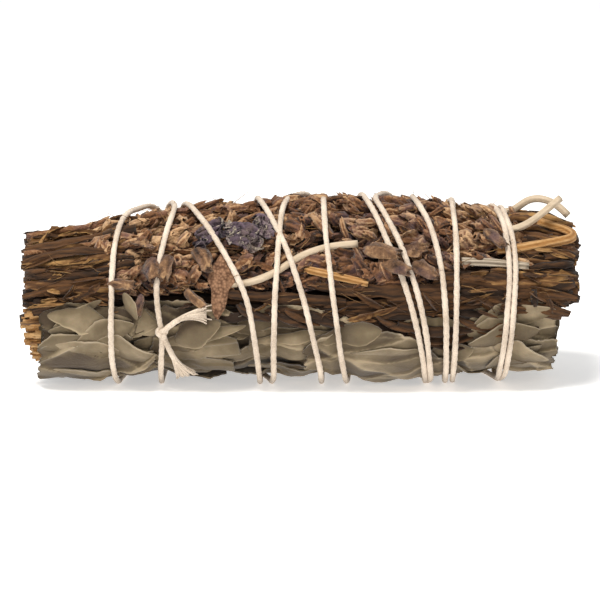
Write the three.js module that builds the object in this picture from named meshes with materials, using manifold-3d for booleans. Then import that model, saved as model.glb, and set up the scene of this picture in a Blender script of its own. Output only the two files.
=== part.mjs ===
// A bunch of dried herbs bound with cotton string, lying on a table.
// Millimetres. +X runs along the bunch, the broad side with the knot faces -Y, and +Z is up.
// The origin is under the middle of the bunch, on the table.
//
// The bunch is nearly round. A place in it is written as x along the bunch, an angle round it in
// degrees (0 faces -Y, 90 is the top, -90 the underside, 180 the back) and a depth under its skin.
// Lavender stalks lie with their flower heads along the top, brown stems fill the middle and both
// ends, sage leaves wrap the lower half, and one string is wound round all of it.

import * as THREE from "three";
import { mergeVertices } from "three/addons/utils/BufferGeometryUtils.js";
import Module from "manifold-3d";

// Driving dimensions of the whole bunch.
const AXIS_Y = -0.7; // the string lies thicker behind the bunch than in front of it
const THICKEST_X = 13; // where the bunch is thickest
const THICKEST_RADIUS = 18.2;
const LEFT_TAPER = 0.0007; // the radius lost, per mm squared from the thickest place
const RIGHT_TAPER = 0.0022;
const PRESSED = 0.8; // how far its weight flattens the underside
const RISE_FROM_X = 15; // the right end lifts off the table from here
const RISE = 0.0011;

// The string.
const STRING_RADIUS = 0.575;
const STRING_GAP = 0.35; // clear of the skin that it is drawn round
const STRING_SINK = 1.1; // how much deeper it is drawn into the brown side than round the leaves
const STRING_REST = 0.5; // height of its centre where it is pressed on the table
const STRING_SIDES = 5;
const STRING_STEP = 7.8; // the longest straight piece of it
const UNDERSIDE = STRING_REST + STRING_RADIUS + STRING_GAP; // height of the lowest leaf

// Brown stems and the two cores that the bunch is packed round.
// The border between the sage leaves and the brown stems, as [x, height].
const BORDER = [[-60, 18.2], [-15, 18.2], [0, 16.6], [13, 14.4], [25, 14.6], [40, 16.2], [60, 17.4]];
const BROWN_ENDS = [-52.6, 53.2];
const SAGE_ENDS = [-51.2, 49.4];
const STEMS_TO_LANE = 3; // between one lane of lavender and the next
const STEMS_ROUND = 20;
const CREST_DEPTHS = [1.25, 2.15]; // of the packed stems
const GAP_DEPTHS = [3.3, 4]; // of the gaps between them
const CREST_WAVE = 0.35; // half the height that a packed stem rises and falls by
const CREST_SWAY = 0.08; // how far it swings to each side, as a share of its room
const ENDS_VARY = 2.6; // how far out of line the ends of the packed stems are
const ENDS_HOLLOW = 1.5; // how far back the gaps between them run at the ends
const HEADS_CORE_DEPTH = 8.6; // under the flower heads
const STEP_DOWN = 5; // from where the core is at full height to the end of a flower head
const STEP_ENDS = 1.5; // the core is at its lowest this far before the end of a flower head
const LEAF_CORE_DEPTH = 3.7;
const CORE_SIDES = 26;
const CORE_RIB = 0.35;
const STEM_SIDES = 5;
const STEM_DEPTH = 2.35; // of the middle of a loose stem
const STEM_RADII = [0.95, 1.15];
const STEM_WANDER = 3.5; // degrees that a loose stem bends by at most
const STUB_SPACING = 5.6; // between the cut ends that show on both end faces
const STUB_RADII = [1.6, 2.2];
const STUB_OUT = [0.5, 1.9]; // how far they stand out
const STUB_ROOM = 5; // from the skin of the bunch to the middle of the outermost of them
const STUB_SHIFT = 0.25; // how far from its place each may lie

// Lavender stalks.
const LANES = [25, 57, 89, 121]; // the angles that the flower heads lie at
const HEADS_FROM = -34;
const HEADS_TO = 41;
const HEAD_DEPTH = 4.6;
const HEAD_RADIUS = 3.5; // of the slim middle that the calyces stand out of
const STALK_RADIUS = 0.6;
const STALK_DEPTH = 1.8;
const STALK_ENDS = [53.4, 54.9]; // how far from the middle of the bunch the stalks end
const WHORLS = 6;
const CALYCES = 3; // in a whorl, on the outer side of the head
const CALYX_SPREAD = 68; // degrees, from one calyx of a whorl to the next
const CALYX_LENGTH = 7;
const CALYX_RADIUS = 1.5;
const CALYX_WIDEST = 0.55; // share of the way along it
const CALYX_LEANS = [17, 31]; // degrees between a calyx and its stalk
const LEAN_LOST = 0.4; // share of the lean that is lost from the base of a head to its tip
const CALYX_REACH = 5.1; // from the stalk to the tip of a calyx
const REACH_LOST = 0.2; // share of the reach that is lost from the base of a head to its tip
const LOWER = 0.3; // how much deeper a calyx that meets the string is tried next
const LOWEST = 1.7; // a calyx that would lie this much deeper is left out

// Sage leaves.
const LEAF_THICKNESS = 0.62;
const LAYER = 1; // from one layer of leaves to the next
const LEAF_TOP = 0.1; // depth of the outermost layer
const WAVE = 0.26; // half the height of the waves that all the layers share
const RUFFLE = 0.07; // share of a leaf's width that its edges run in and out by

const CLEAR = 0.3; // left round a piece that is let into its neighbours
const BLOCK = 400; // side of the block that trims off what lies under a line
const TABLE = [[-60, 0], [60, 0]];

const wasm = await Module();
wasm.setup();

const radians = THREE.MathUtils.degToRad;

function smooth(from, to, value) {
  return THREE.MathUtils.smoothstep(value, from, to);
}

// Random draws that are the same each time, from 0 to 1.
function seeded(seed) {
  let state = seed;
  return () => {
    state = (state * 1664525 + 1013904223) % 4294967296;
    return state / 4294967296;
  };
}

function between([low, high], share) {
  return low + (high - low) * share;
}

// A draw from -by to by.
function shift(random, by) {
  return by * (2 * random() - 1);
}

// The shape of the bunch.

function girth(x) {
  const taper = x < THICKEST_X ? LEFT_TAPER : RIGHT_TAPER;
  return THICKEST_RADIUS - taper * (x - THICKEST_X) ** 2;
}

function middleHeight(x) {
  const rise = RISE * Math.max(0, x - RISE_FROM_X) ** 2;
  return UNDERSIDE - PRESSED + girth(x) + rise;
}

function inBunch(x, angle, depth) {
  const radius = girth(x) - depth;
  const z = middleHeight(x) + radius * Math.sin(radians(angle));
  const y = AXIS_Y - radius * Math.cos(radians(angle));
  return new THREE.Vector3(x, y, Math.max(z, UNDERSIDE + depth));
}

// Solids.

function solid(geometry) {
  const bare = geometry.clone();
  bare.deleteAttribute("normal");
  bare.deleteAttribute("uv");
  const merged = mergeVertices(bare, 1e-4);
  const vertProperties = new Float32Array(merged.attributes.position.array);
  const triVerts = new Uint32Array(merged.index.array);
  return new wasm.Manifold(new wasm.Mesh({ numProp: 3, vertProperties, triVerts }));
}

function joined(solids) {
  return solids.reduce((all, one) => all.add(one));
}

function largest(made) {
  const bodies = made.decompose();
  return bodies.reduce((a, b) => (b.volume() > a.volume() ? b : a));
}

function geometryOf(made) {
  const mesh = made.getMesh();
  const geometry = new THREE.BufferGeometry();
  const positions = new THREE.BufferAttribute(new Float32Array(mesh.vertProperties), 3);
  geometry.setAttribute("position", positions);
  geometry.setIndex(new THREE.BufferAttribute(new Uint32Array(mesh.triVerts), 1));
  geometry.computeVertexNormals();
  return geometry;
}

// A line carried on past both of its ends.
function lengthened(points, by) {
  const past = (end, inner) => end.clone().add(end.clone().sub(inner).setLength(by));
  if (by === 0) return points;
  return [past(points[0], points[1]), ...points, past(points.at(-1), points.at(-2))];
}

// A rod of the given radius through a list of points, with flat ends.
function rod(points, radius, sides, steps) {
  const section = new THREE.Shape();
  for (let i = 0; i < sides; i++) {
    const turn = (2 * Math.PI * (i + 0.5)) / sides;
    const corner = [radius * Math.cos(turn), radius * Math.sin(turn)];
    if (i === 0) section.moveTo(...corner);
    else section.lineTo(...corner);
  }
  const extrudePath = new THREE.CatmullRomCurve3(points, false, "centripetal");
  return solid(new THREE.ExtrudeGeometry(section, { steps, extrudePath, bevelEnabled: false }));
}

// A rod whose places are [x, angle, depth]. grown makes it thicker and longer all round.
function rodInBunch(places, radius, sides, steps, grown = 0) {
  const points = places.map((p) => inBunch(...p));
  return rod(lengthened(points, grown), radius + grown, sides, steps + (grown ? 2 : 0));
}

// A thin blade. The line down its middle is a list of [x, angle], and halfWidth(u) is its half
// width at the share u of the way along. Both faces are split into the same triangles. grown
// makes it wider, longer and thicker all round.
function blade({ line, halfWidth, depthAt, along, across }, grown = 0) {
  const perDegree = radians(THICKEST_RADIUS);
  const thickness = LEAF_THICKNESS + 2 * grown;
  const flat = line.map(([x, angle]) => new THREE.Vector3(x, angle * perDegree, 0));
  const middle = new THREE.CatmullRomCurve3(flat, false, "centripetal");
  const positions = [];
  const row = across + 1;
  const face = row * (along + 1);
  for (const lift of [0, thickness]) {
    for (let i = 0; i <= along; i++) {
      const u = i / along;
      const at = middle.getPoint(u);
      const run = middle.getTangent(u);
      for (let j = 0; j <= across; j++) {
        const v = (2 * j) / across - 1;
        const half = halfWidth(u) + grown;
        const end = i === 0 ? -grown : i === along ? grown : 0;
        const x = at.x - run.y * half * v + run.x * end;
        const angle = (at.y + run.x * half * v + run.y * end) / perDegree;
        positions.push(...inBunch(x, angle, depthAt(x, angle, u, v) + lift - grown).toArray());
      }
    }
  }
  const faces = [];
  const quad = (a, b, c, d) => faces.push(a, b, d, b, c, d);
  for (let i = 0; i < along; i++) {
    for (let j = 0; j < across; j++) {
      const a = i * row + j;
      const b = a + row;
      faces.push(a, b, a + 1, b, b + 1, a + 1);
      faces.push(face + a, face + a + 1, face + b, face + b, face + a + 1, face + b + 1);
    }
  }
  for (let i = 0; i < along; i++) {
    const a = i * row;
    quad(a, face + a, face + a + row, a + row);
    const b = a + across;
    quad(b, b + row, face + b + row, face + b);
  }
  for (let j = 0; j < across; j++) {
    quad(j, j + 1, face + j + 1, face + j);
    const b = along * row + j;
    quad(b, face + b, face + b + 1, b + 1);
  }
  const geometry = new THREE.BufferGeometry();
  geometry.setAttribute("position", new THREE.Float32BufferAttribute(positions, 3));
  geometry.setIndex(faces);
  return solid(geometry);
}

// The string: where it crosses the front on its way down, at these angles, turn by turn in the
// order that it was wound. It runs right along the bunch, doubles at the right end, comes back
// in three long slants across the back, and is knotted to its own beginning.
const FRONT_ANGLES = [90, 45, 10, -35, -78];
const TURNS = [
  [-22.7, -16.5, -10.3, -8.2, -7.9],
  [-8.7, -3.7, 0.4, 3.9, 4.3],
  [4.5, 4.9, 6.3, 8.2, 9.5],
  [12.3, 16.5, 21.1, 24.4, 25.0],
  [22.1, 26.7, 28.4, 28.8, 28.9],
  [30.1, 30.6, 30.7, 30.3, 30.1],
  [38.7, 41.1, 41.0, 39.7, 39.0],
  [39.9, 42.3, 42.2, 40.9, 40.2],
  [13.6, 18.9, 23.2, 25.6, 26.2],
  [-3.1, -4.1, -4.9, -5.2, -5.1],
  [-34.4, -36.8, -36.8, -37.1, -36.1],
];
const KNOT = [-27.0, -14];
const FROM_KNOT = [[-27.0, -14], [-27.3, -35], [-27.7, -78]];
const TO_KNOT = [[-24.1, 90], [-26.9, 45], [-28.7, 10], [-27.0, -14]];
const TAIL_ALONG = [[-27.0, -14], [-25.2, -8.8], [-23.5, -4.7], [-21.1, -3.2], [-17.2, -3.6]];
const TAIL_DOWN = [[-27.0, -14], [-24.9, -33.5], [-22.4, -58]];

const FIRST_OVER = 8; // from this turn on, the string comes back over the turns before it
const OVER = 1.3; // how much further out it lies there, behind the bunch

// Each turn runs from its first place on the front to the first place of the next one. The
// angle goes on falling, by 360 degrees a turn. over is how far the turn lies out at the back.
function windings() {
  const turns = TURNS.map((xs) => xs.map((x, i) => [x, FRONT_ANGLES[i]]));
  const fronts = [FROM_KNOT, ...turns, TO_KNOT];
  return fronts.map((front, i) => {
    const next = fronts[i + 1];
    const places = next ? [...front, [next[0][0], next[0][1] - 360]] : front;
    return { places, over: i >= FIRST_OVER ? OVER : 0 };
  });
}

// 1 over the brown side of the bunch and 0 over the leaves.
function brownSide(angle) {
  const turn = THREE.MathUtils.euclideanModulo(angle + 90, 360) - 90;
  return smooth(-14, 6, turn) * (1 - smooth(174, 194, turn));
}

function stringPoints(places, over = 0) {
  const points = [];
  for (let i = 1; i < places.length; i++) {
    const [x0, a0] = places[i - 1];
    const [x1, a1] = places[i];
    const arc = radians(Math.abs(a1 - a0)) * THICKEST_RADIUS;
    const steps = Math.ceil(Math.hypot(arc, x1 - x0) / STRING_STEP);
    for (let k = i === 1 ? 0 : 1; k <= steps; k++) {
      const share = k / steps;
      const angle = a0 + (a1 - a0) * share;
      const behind = smooth(95, 125, -angle) * smooth(-262, -235, angle);
      const out = STRING_GAP + STRING_RADIUS + over * behind;
      points.push(inBunch(x0 + (x1 - x0) * share, angle, STRING_SINK * brownSide(angle) - out));
    }
  }
  return points;
}

function makeString(grown = 0) {
  const radius = STRING_RADIUS + grown;
  const pieces = windings().map(({ places, over }) => {
    const points = stringPoints(places, over);
    const lapped = lengthened(points, STRING_RADIUS).slice(1); // into the next turn
    return rod(lapped, radius, STRING_SIDES, points.length);
  });
  const tails = [TAIL_ALONG, TAIL_DOWN].map((places) => {
    const points = stringPoints(places);
    return rod(points, radius, STRING_SIDES, points.length);
  });
  const knot = new THREE.SphereGeometry(2 * STRING_RADIUS + grown, 7, 5);
  knot.translate(...inBunch(...KNOT, -2 * STRING_RADIUS - CLEAR).toArray());
  return joined([...pieces, ...tails, solid(knot)]).subtract(below(TABLE));
}

// All the space under a line of [x, height].
function below(line) {
  const [first, last] = [line[0], line.at(-1)];
  const corners = [[-BLOCK / 2, -BLOCK], [BLOCK / 2, -BLOCK], [BLOCK / 2, last[1]], ...line.toReversed()];
  const outline = new THREE.Shape([...corners, [-BLOCK / 2, first[1]]].map((c) => new THREE.Vector2(...c)));
  const block = new THREE.ExtrudeGeometry(outline, { depth: BLOCK, bevelEnabled: false });
  return solid(block.rotateX(Math.PI / 2).translate(0, BLOCK / 2, 0));
}

function borderHeight(x) {
  const next = Math.max(1, BORDER.findIndex(([at]) => at >= x));
  const [[x0, low], [x1, high]] = [BORDER[next - 1], BORDER[next]];
  return between([low, high], (x - x0) / (x1 - x0));
}

// The angle that the border lies at on the front.
function borderAngle(x) {
  const share = (borderHeight(x) - middleHeight(x)) / girth(x);
  return THREE.MathUtils.radToDeg(Math.asin(share));
}

// A solid packed between rows of points, each row a ring round the bunch.
function packed(rows) {
  const columns = rows[0].length;
  const faces = [];
  const last = (rows.length - 1) * columns;
  for (let j = 0; j < columns; j++) {
    const k = (j + 1) % columns;
    for (let i = 0; i < last; i += columns) {
      faces.push(i + j, i + columns + j, i + k, i + k, i + columns + j, i + columns + k);
    }
  }
  const positions = rows.flat().flatMap((place) => inBunch(...place).toArray());
  [0, last].forEach((from) => {
    const depths = rows[from / columns].map((place) => place[0]);
    const x = depths.reduce((a, b) => a + b) / columns;
    positions.push(x, AXIS_Y, middleHeight(x));
  });
  for (let j = 0; j < columns; j++) {
    const k = (j + 1) % columns;
    faces.push(rows.length * columns, j, k);
    faces.push(rows.length * columns + 1, last + k, last + j);
  }
  const geometry = new THREE.BufferGeometry();
  geometry.setAttribute("position", new THREE.Float32BufferAttribute(positions, 3));
  geometry.setIndex(faces);
  return solid(geometry);
}

function makeSagePack() {
  const rows = [SAGE_ENDS[0], -36, -20, -4, 12, 28, 40, SAGE_ENDS[1]].map((x) => {
    const ring = [];
    for (let j = 0; j < CORE_SIDES; j++) {
      ring.push([x, -90 + (360 * j) / CORE_SIDES, LEAF_CORE_DEPTH + (j % 2) * CORE_RIB]);
    }
    return ring;
  });
  return packed(rows).intersect(below(BORDER.map(([x, height]) => [x, height - CLEAR])));
}

// The brown stems are packed too tightly to part: they are raised from one core, each by a crest
// of two columns of points with a deep gap on both sides of it. They are lower along the lanes,
// where the bare stalks lie, and the core drops away under the flower heads.
function packedStems(random) {
  const spacing = (LANES[1] - LANES[0]) / STEMS_TO_LANE;
  const first = LANES[0] - 4 * spacing;
  const stems = [];
  for (let i = 0; i < STEMS_ROUND; i++) {
    const depth = between(CREST_DEPTHS, random());
    const phase = 2 * Math.PI * random();
    const out = ENDS_VARY * random();
    stems.push({ from: first + i * spacing, depth, phase, out, gap: between(GAP_DEPTHS, random()) });
  }
  const point = (x, angle, depth) => {
    const toLane = Math.min(...LANES.map((lane) => Math.abs(lane - angle)));
    let lowered = depth;
    if (toLane < spacing * 0.8) lowered = Math.max(depth, STALK_DEPTH + STALK_RADIUS + CLEAR);
    const leavesUpTo = borderAngle(x);
    if (angle < leavesUpTo || angle > 180 - leavesUpTo) lowered = LEAF_CORE_DEPTH;
    return [x, angle, between([lowered, HEADS_CORE_DEPTH], underHeads(x, angle))];
  };
  // side is -1 in the left end face, 1 in the right one and 0 between them.
  const ring = (x, side) =>
    stems.flatMap(({ from, depth, phase, out, gap }) => {
      const sway = CREST_SWAY * Math.sin(0.13 * x + phase);
      const crest = depth + CREST_WAVE * (1 + Math.sin(0.21 * x + 2 * phase));
      const edge = x + side * (out - 1);
      return [
        point(x - side * ENDS_HOLLOW, from, gap),
        point(edge, from + (0.26 + sway) * spacing, crest),
        point(edge, from + (0.76 + sway) * spacing, crest + CLEAR),
      ];
    });
  const [left, right] = BROWN_ENDS;
  const before = [-46, HEADS_FROM - STEP_DOWN, HEADS_FROM - STEP_ENDS];
  const after = [HEADS_TO + STEP_ENDS, HEADS_TO + STEP_DOWN];
  const stops = [...before, -20, -4, 12, 28, ...after];
  return packed([ring(left, -1), ...stops.map((x) => ring(x, 0)), ring(right, 1)]);
}

// 1 under the flower heads and 0 away from them.
function underHeads(x, angle) {
  const half = (LANES[1] - LANES[0]) / 2;
  const [low, high] = [LANES[0] - half, LANES.at(-1) + half];
  const along = smooth(-STEP_DOWN, -STEP_ENDS, Math.min(x - HEADS_FROM, HEADS_TO - x));
  return along * smooth(low - 8, low, angle) * (1 - smooth(high, high + 8, angle));
}

// The cut ends in an end face, in rows across it. side is -1 for the left end and 1 for the right.
function cutEnds(random, side) {
  const stubs = [];
  const face = BROWN_ENDS[side < 0 ? 0 : 1];
  const reach = girth(face) - STUB_ROOM;
  const lowest = borderHeight(face) - middleHeight(face) + STUB_RADII[0];
  const rowHeight = STUB_SPACING * Math.sin(Math.PI / 3);
  for (let row = 0; row <= 1; row++) {
    for (let column = -2; column <= 2; column++) {
      const y = (column + row / 2) * STUB_SPACING + shift(random, STUB_SHIFT);
      const up = lowest + row * rowHeight + shift(random, STUB_SHIFT);
      if (Math.hypot(y, up) > reach) continue;
      const inside = new THREE.Vector3(face - side * ENDS_HOLLOW, AXIS_Y + y, middleHeight(face) + up);
      const outside = inside.clone().setX(face + side * between(STUB_OUT, random()));
      stubs.push(rod([inside, outside], between(STUB_RADII, random()), STEM_SIDES, 1));
    }
  }
  return stubs;
}

// Loose stems that lie over the packed ones, half sunk in them: [x, angle] of both ends.
const LOOSE_STEMS = [
  [[-54.5, 14], [-37, 8]],
  [[-53, 40], [-40, 44]],
  [[-54.8, 72], [-39, 70]],
  [[-14, 4.5], [13, -1]],
  [[18, -1], [43, 1]],
  [[44, 12], [54.5, 17]],
  [[45, 33], [54.2, 41]],
  [[-48, 146], [-12, 156]],
  [[-4, 164], [32, 152]],
];

function looseStem(random, [[x0, a0], [x1, a1]]) {
  const places = [0, 0.33, 0.67, 1].map((share) => {
    const bend = 4 * share * (1 - share) * shift(random, STEM_WANDER);
    return [between([x0, x1], share), between([a0, a1], share) + bend, STEM_DEPTH];
  });
  const steps = Math.max(3, Math.round((x1 - x0) / 11));
  return rodInBunch(places, between(STEM_RADII, random()), STEM_SIDES, steps);
}

function makeStemBunch() {
  const random = seeded(11);
  const loose = LOOSE_STEMS.map((ends) => looseStem(random, ends));
  const pieces = [packedStems(random), ...loose, ...cutEnds(random, -1), ...cutEnds(random, 1)];
  return joined(pieces).subtract(below(BORDER));
}

// A closed flower bud, pointed at both ends, along +X.
function calyx() {
  const outline = [[0, 0], [CALYX_RADIUS, CALYX_WIDEST], [0, 1]];
  const profile = outline.map(([radius, share]) => new THREE.Vector2(radius, share * CALYX_LENGTH));
  return new THREE.LatheGeometry(profile, 4).rotateZ(-Math.PI / 2);
}

// The slim middle of a flower head, along +X.
function headMiddle(length) {
  const outline = [[0, 0], [0.8, 0.04], [1, 0.5], [0.6, 0.91], [0, 0.95]];
  const profile = outline.map(([r, share]) => new THREE.Vector2(r * HEAD_RADIUS, share * length));
  return new THREE.LatheGeometry(profile, 6).rotateZ(-Math.PI / 2);
}

// One lavender stalk: a head of calyces in whorls that stand out of a slim middle, and the bare
// stalk that runs on from it to the end of the bunch. A calyx that meets the string lies deeper.
function lavender(random, { lane, base, tip }, stringRoom) {
  const forward = Math.sign(tip - base);
  const length = Math.abs(tip - base);
  const perDegree = radians(THICKEST_RADIUS - HEAD_DEPTH);
  const room = ((LANES[1] - LANES[0]) / 2) * perDegree - CLEAR / 2; // to the lane's edge
  const inHead = (geometry, deeper) => {
    const bent = forward < 0 ? turned(geometry.clone()) : geometry.clone();
    const p = bent.attributes.position;
    for (let i = 0; i < p.count; i++) {
      const across = p.getY(i) / (1 + (p.getY(i) / room) ** 4) ** 0.25;
      const depth = HEAD_DEPTH - p.getZ(i) + deeper;
      const at = inBunch(base + forward * p.getX(i), lane + across / perDegree, depth);
      p.setXYZ(i, at.x, at.y, at.z);
    }
    return solid(bent);
  };
  const pieces = [inHead(headMiddle(length), 0)];
  for (let i = 0; i < WHORLS; i++) {
    const share = i / (WHORLS - 1);
    const turn = i % 2 ? 0.25 : -0.25;
    for (let k = 0; k < CALYCES; k++) {
      const round = CALYX_SPREAD * (k - (CALYCES - 1) / 2 + turn + shift(random, 0.15));
      const lean = radians(between(CALYX_LEANS, random()) * (1 - LEAN_LOST * share));
      const along = 0.4 + share * (length - CALYX_LENGTH - 0.4) + shift(random, 0.4);
      const reach = CALYX_REACH - CALYX_LENGTH * Math.sin(lean) - 0.6 * CALYX_RADIUS;
      const one = calyx().rotateY(-lean).translate(along, 0, reach * (1 - REACH_LOST * share));
      one.rotateX(radians(round));
      let deeper = 0;
      while (inHead(one, deeper).intersect(stringRoom).volume() > 0 && deeper < LOWEST) {
        deeper += LOWER;
      }
      if (deeper < LOWEST) pieces.push(inHead(one, deeper));
    }
  }
  const stalk = [
    [base + forward * 3, lane, HEAD_DEPTH],
    [base - forward * 1, lane, HEAD_DEPTH - 0.8],
    [base - forward * 5, lane, STALK_DEPTH + 0.2],
    [-forward * between(STALK_ENDS, random()), lane + shift(random, 0.75), STALK_DEPTH],
  ];
  pieces.push(rodInBunch(stalk, STALK_RADIUS, STEM_SIDES, 5));
  return joined(pieces);
}

// Turns every face of a geometry round.
function turned(geometry) {
  const index = geometry.index;
  for (let i = 0; i < index.count; i += 3) {
    const [b, c] = [index.getX(i + 1), index.getX(i + 2)];
    index.setX(i + 1, c);
    index.setX(i + 2, b);
  }
  return geometry;
}

// Two stalks to a lane, tip to tip. In every other lane they meet further left.
const LAVENDER = LANES.flatMap((lane, i) => {
  const odd = i % 2;
  return [
    { name: `lavender_left_${i + 1}`, lane, base: HEADS_FROM + odd, tip: 3 - 5 * odd },
    { name: `lavender_right_${i + 1}`, lane, base: HEADS_TO - odd, tip: 4.4 - 5 * odd },
  ];
});

// Sage leaves: name, the line down the middle as [x, angle], half width, the share of a whole leaf
// that shows from its cut or torn start to its end, and layer, 0 outermost.
const LEAVES = [
  ["sage_leaf_front_left", [[-51.5, -42], [-40, -42], [-28.6, -38]], 6.9, [0.3, 0.9], 0],
  ["sage_leaf_front_left_fold", [[-50.5, -9], [-40, -9], [-30, -11]], 5.2, [0.3, 0.95], 1],
  ["sage_leaf_front_crumpled", [[-38, -14], [-26, -14], [-8, -18]], 6.6, [0.1, 0.95], 2],
  ["sage_leaf_by_knot", [[-28.4, -16], [-23, -17], [-16.8, -14]], 6, [0.28, 0.96], 1],
  ["sage_leaf_front_low", [[-19, -62], [-8, -52], [9, -45]], 6.6, [0.1, 0.92], 2],
  ["sage_leaf_front_middle", [[1, -38], [15, -42], [31.5, -62]], 8.2, [0.08, 0.93], 0],
  ["sage_leaf_front_tucked", [[-12, -12], [2, -17], [14, -26]], 5, [0.1, 0.94], 1],
  ["sage_leaf_right_low", [[24, -48], [38, -46], [50.2, -46]], 7.4, [0.06, 0.68], 1],
  ["sage_leaf_right_high", [[30, -18], [40, -14], [50.4, -11]], 5.6, [0.08, 0.7], 2],
  ["sage_leaf_under_left", [[-50, -88], [-34, -86], [-15, -84]], 9, [0.25, 0.92], 1],
  ["sage_leaf_under_middle", [[-14, -98], [2, -90], [20, -86]], 9, [0.08, 0.93], 1],
  ["sage_leaf_under_right", [[22, -96], [36, -92], [50, -90]], 8.4, [0.08, 0.7], 2],
  ["sage_leaf_back_left", [[-51, -138], [-38, -132], [-22, -134]], 8.6, [0.28, 0.93], 0],
  ["sage_leaf_back_left_high", [[-50, -169], [-36, -169], [-24, -168]], 5.2, [0.3, 0.93], 2],
  ["sage_leaf_back_middle", [[-20, -128], [-4, -134], [14, -146]], 9, [0.08, 0.93], 2],
  ["sage_leaf_back_middle_high", [[-14, -166], [0, -164], [16, -161]], 5, [0.08, 0.93], 1],
  ["sage_leaf_back_right", [[16, -128], [32, -136], [50.5, -134]], 8.8, [0.08, 0.7], 0],
  ["sage_leaf_back_right_high", [[26, -161], [38, -165], [50, -168]], 5.2, [0.08, 0.7], 2],
];
const LEAF_ALONG = 7;
const LEAF_ACROSS = 4;

function wave(x, angle) {
  return WAVE * (1 + Math.sin(0.5 * x + 0.05 * angle) * Math.cos(0.1 * angle - 0.2 * x));
}

function sageLeaf([, line, half, part, layer], grown = 0) {
  const form = {
    line,
    halfWidth: (u) => {
      const outline = Math.sin(Math.PI * between(part, u)) ** 0.8;
      return half * outline * (1 + RUFFLE * Math.sin(11 * u + half));
    },
    depthAt: (x, angle) => LEAF_TOP + layer * LAYER + wave(x, angle),
    along: LEAF_ALONG,
    across: LEAF_ACROSS,
  };
  return blade(form, grown);
}

// Single stems that lie on top of the others: name, look, radius, sides, steps and the places that
// each runs through, as [x, angle, depth].
const SINGLE_STEMS = [
  ["pale_bent_stem", "pale", 0.75, 6, 9, [
    [-17.3, 16, 1.8], [-10.3, 15, 1.8], [-5.3, 21, 1.8], [0.7, 34.5, 1.8], [5.7, 40, 1.8], [11.3, 41.6, 1.8],
  ]],
  ["golden_broken_stem", "golden", 0.8, 5, 4, [[0.9, 24, 1.8], [6.7, 19, 1.8], [13.3, 14, 1.7]]],
  ["grooved_grey_stem", "pale", 0.95, 6, 4, [[31.6, 31, 1.9], [38, 32.6, 2.1], [44.8, 32.4, 1.9]]],
  ["loop_stem", "pale", 0.75, 6, 8, [
    [39, 98, 2], [42.6, 98, 1.2], [45, 97, -2], [48, 95, -3.6], [51, 93, -3.2], [53.6, 90, -0.8],
  ]],
  ["straight_end_stem", "pale", 0.7, 6, 5, [[39, 62, 2], [43, 64, 1.2], [46.5, 70, -1], [51.4, 80, -5]]],
  ["folded_end_stem", "golden", 0.85, 6, 12, [
    [38.6, 44, 2.3], [43, 47, 2.1], [49, 54, 0.9], [53.4, 62, 0.7], [54.6, 69, 0.8], [53.2, 75, 0.9],
    [47, 79, 1],
  ]],
  ["golden_stub_1", "golden", 1.4, 6, 1, [[-55, -8, 4.8], [-45, -8, 4.8]]],
  ["golden_stub_2", "golden", 1.5, 6, 1, [[-54.4, -28, 4.6], [-45, -28, 4.6]]],
  ["golden_stub_3", "golden", 1.5, 6, 1, [[-53.6, -50, 4.4], [-45, -50, 4.4]]],
];

// Petals: name, both ends of the line down the middle, and half width.
const PETALS = [
  ["flower_petal_1", [-19.6, 50], [-16, 57], 1.9],
  ["flower_petal_2", [-13.6, 54], [-8.6, 46], 2.2],
  ["flower_petal_3", [-8.4, 62], [-5.6, 53], 1.8],
];

function reddishLeaf(grown) {
  const form = {
    line: [[-14.6, 40], [-15.4, 18], [-16.2, -9]],
    halfWidth: (u) => 2.6 * Math.sin(Math.PI * between([0.1, 0.94], u)) ** 0.7,
    depthAt: (x, angle, u, v) => 0.95 * brownSide(angle + 10) + 0.05 + 0.25 * v * v,
    along: 7,
    across: 2,
  };
  return blade(form, grown);
}

function petal([, from, to, half], grown) {
  const middle = [(from[0] + to[0]) / 2 + 0.4, (from[1] + to[1]) / 2 + 2];
  const form = {
    line: [from, middle, to],
    halfWidth: (u) => half * (0.55 + 0.45 * Math.sin(Math.PI * u)),
    depthAt: (x, angle, u, v) => 1.7 + 0.3 * Math.sin(7 * u + 2 * v),
    along: 4,
    across: 2,
  };
  return blade(form, grown);
}

// Every single piece, with the function that makes it. grown widens it all round, to let it into
// its neighbours with some room.
const SINGLES = [
  ...SINGLE_STEMS.map(([name, look, radius, sides, steps, places]) => ({
    name,
    look,
    make: (grown) => rodInBunch(places, radius, sides, steps, grown),
  })),
  { name: "reddish_leaf", look: "reddish", make: reddishLeaf },
  ...PETALS.map((one) => ({ name: one[0], look: "petal", make: (grown) => petal(one, grown) })),
];

// Materials: colour, roughness.
const LOOKS = {
  string: [0xd9c8ae, 0.9],
  stems: [0x6b4a31, 0.85],
  lavender: [0x7f614b, 0.9],
  sage: [0x8f7f66, 0.8],
  pale: [0xbfae90, 0.75],
  golden: [0xb08a55, 0.75],
  reddish: [0x75553d, 0.85],
  petal: [0x4f4360, 0.85],
};

const bunch = new THREE.Group();

function place(name, made, look) {
  const [color, roughness] = LOOKS[look];
  const material = new THREE.MeshStandardMaterial({ color, roughness, metalness: 0 });
  const mesh = new THREE.Mesh(geometryOf(made), material);
  mesh.name = name;
  bunch.add(mesh);
}

// Single pieces are placed first, each clear of those before it, and the rest give way to them.
let taken = null;
for (const { name, look, make } of SINGLES) {
  const piece = make(0);
  place(name, largest(taken ? piece.subtract(taken) : piece), look);
  const room = make(CLEAR);
  taken = taken ? taken.add(room) : room;
}

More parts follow.
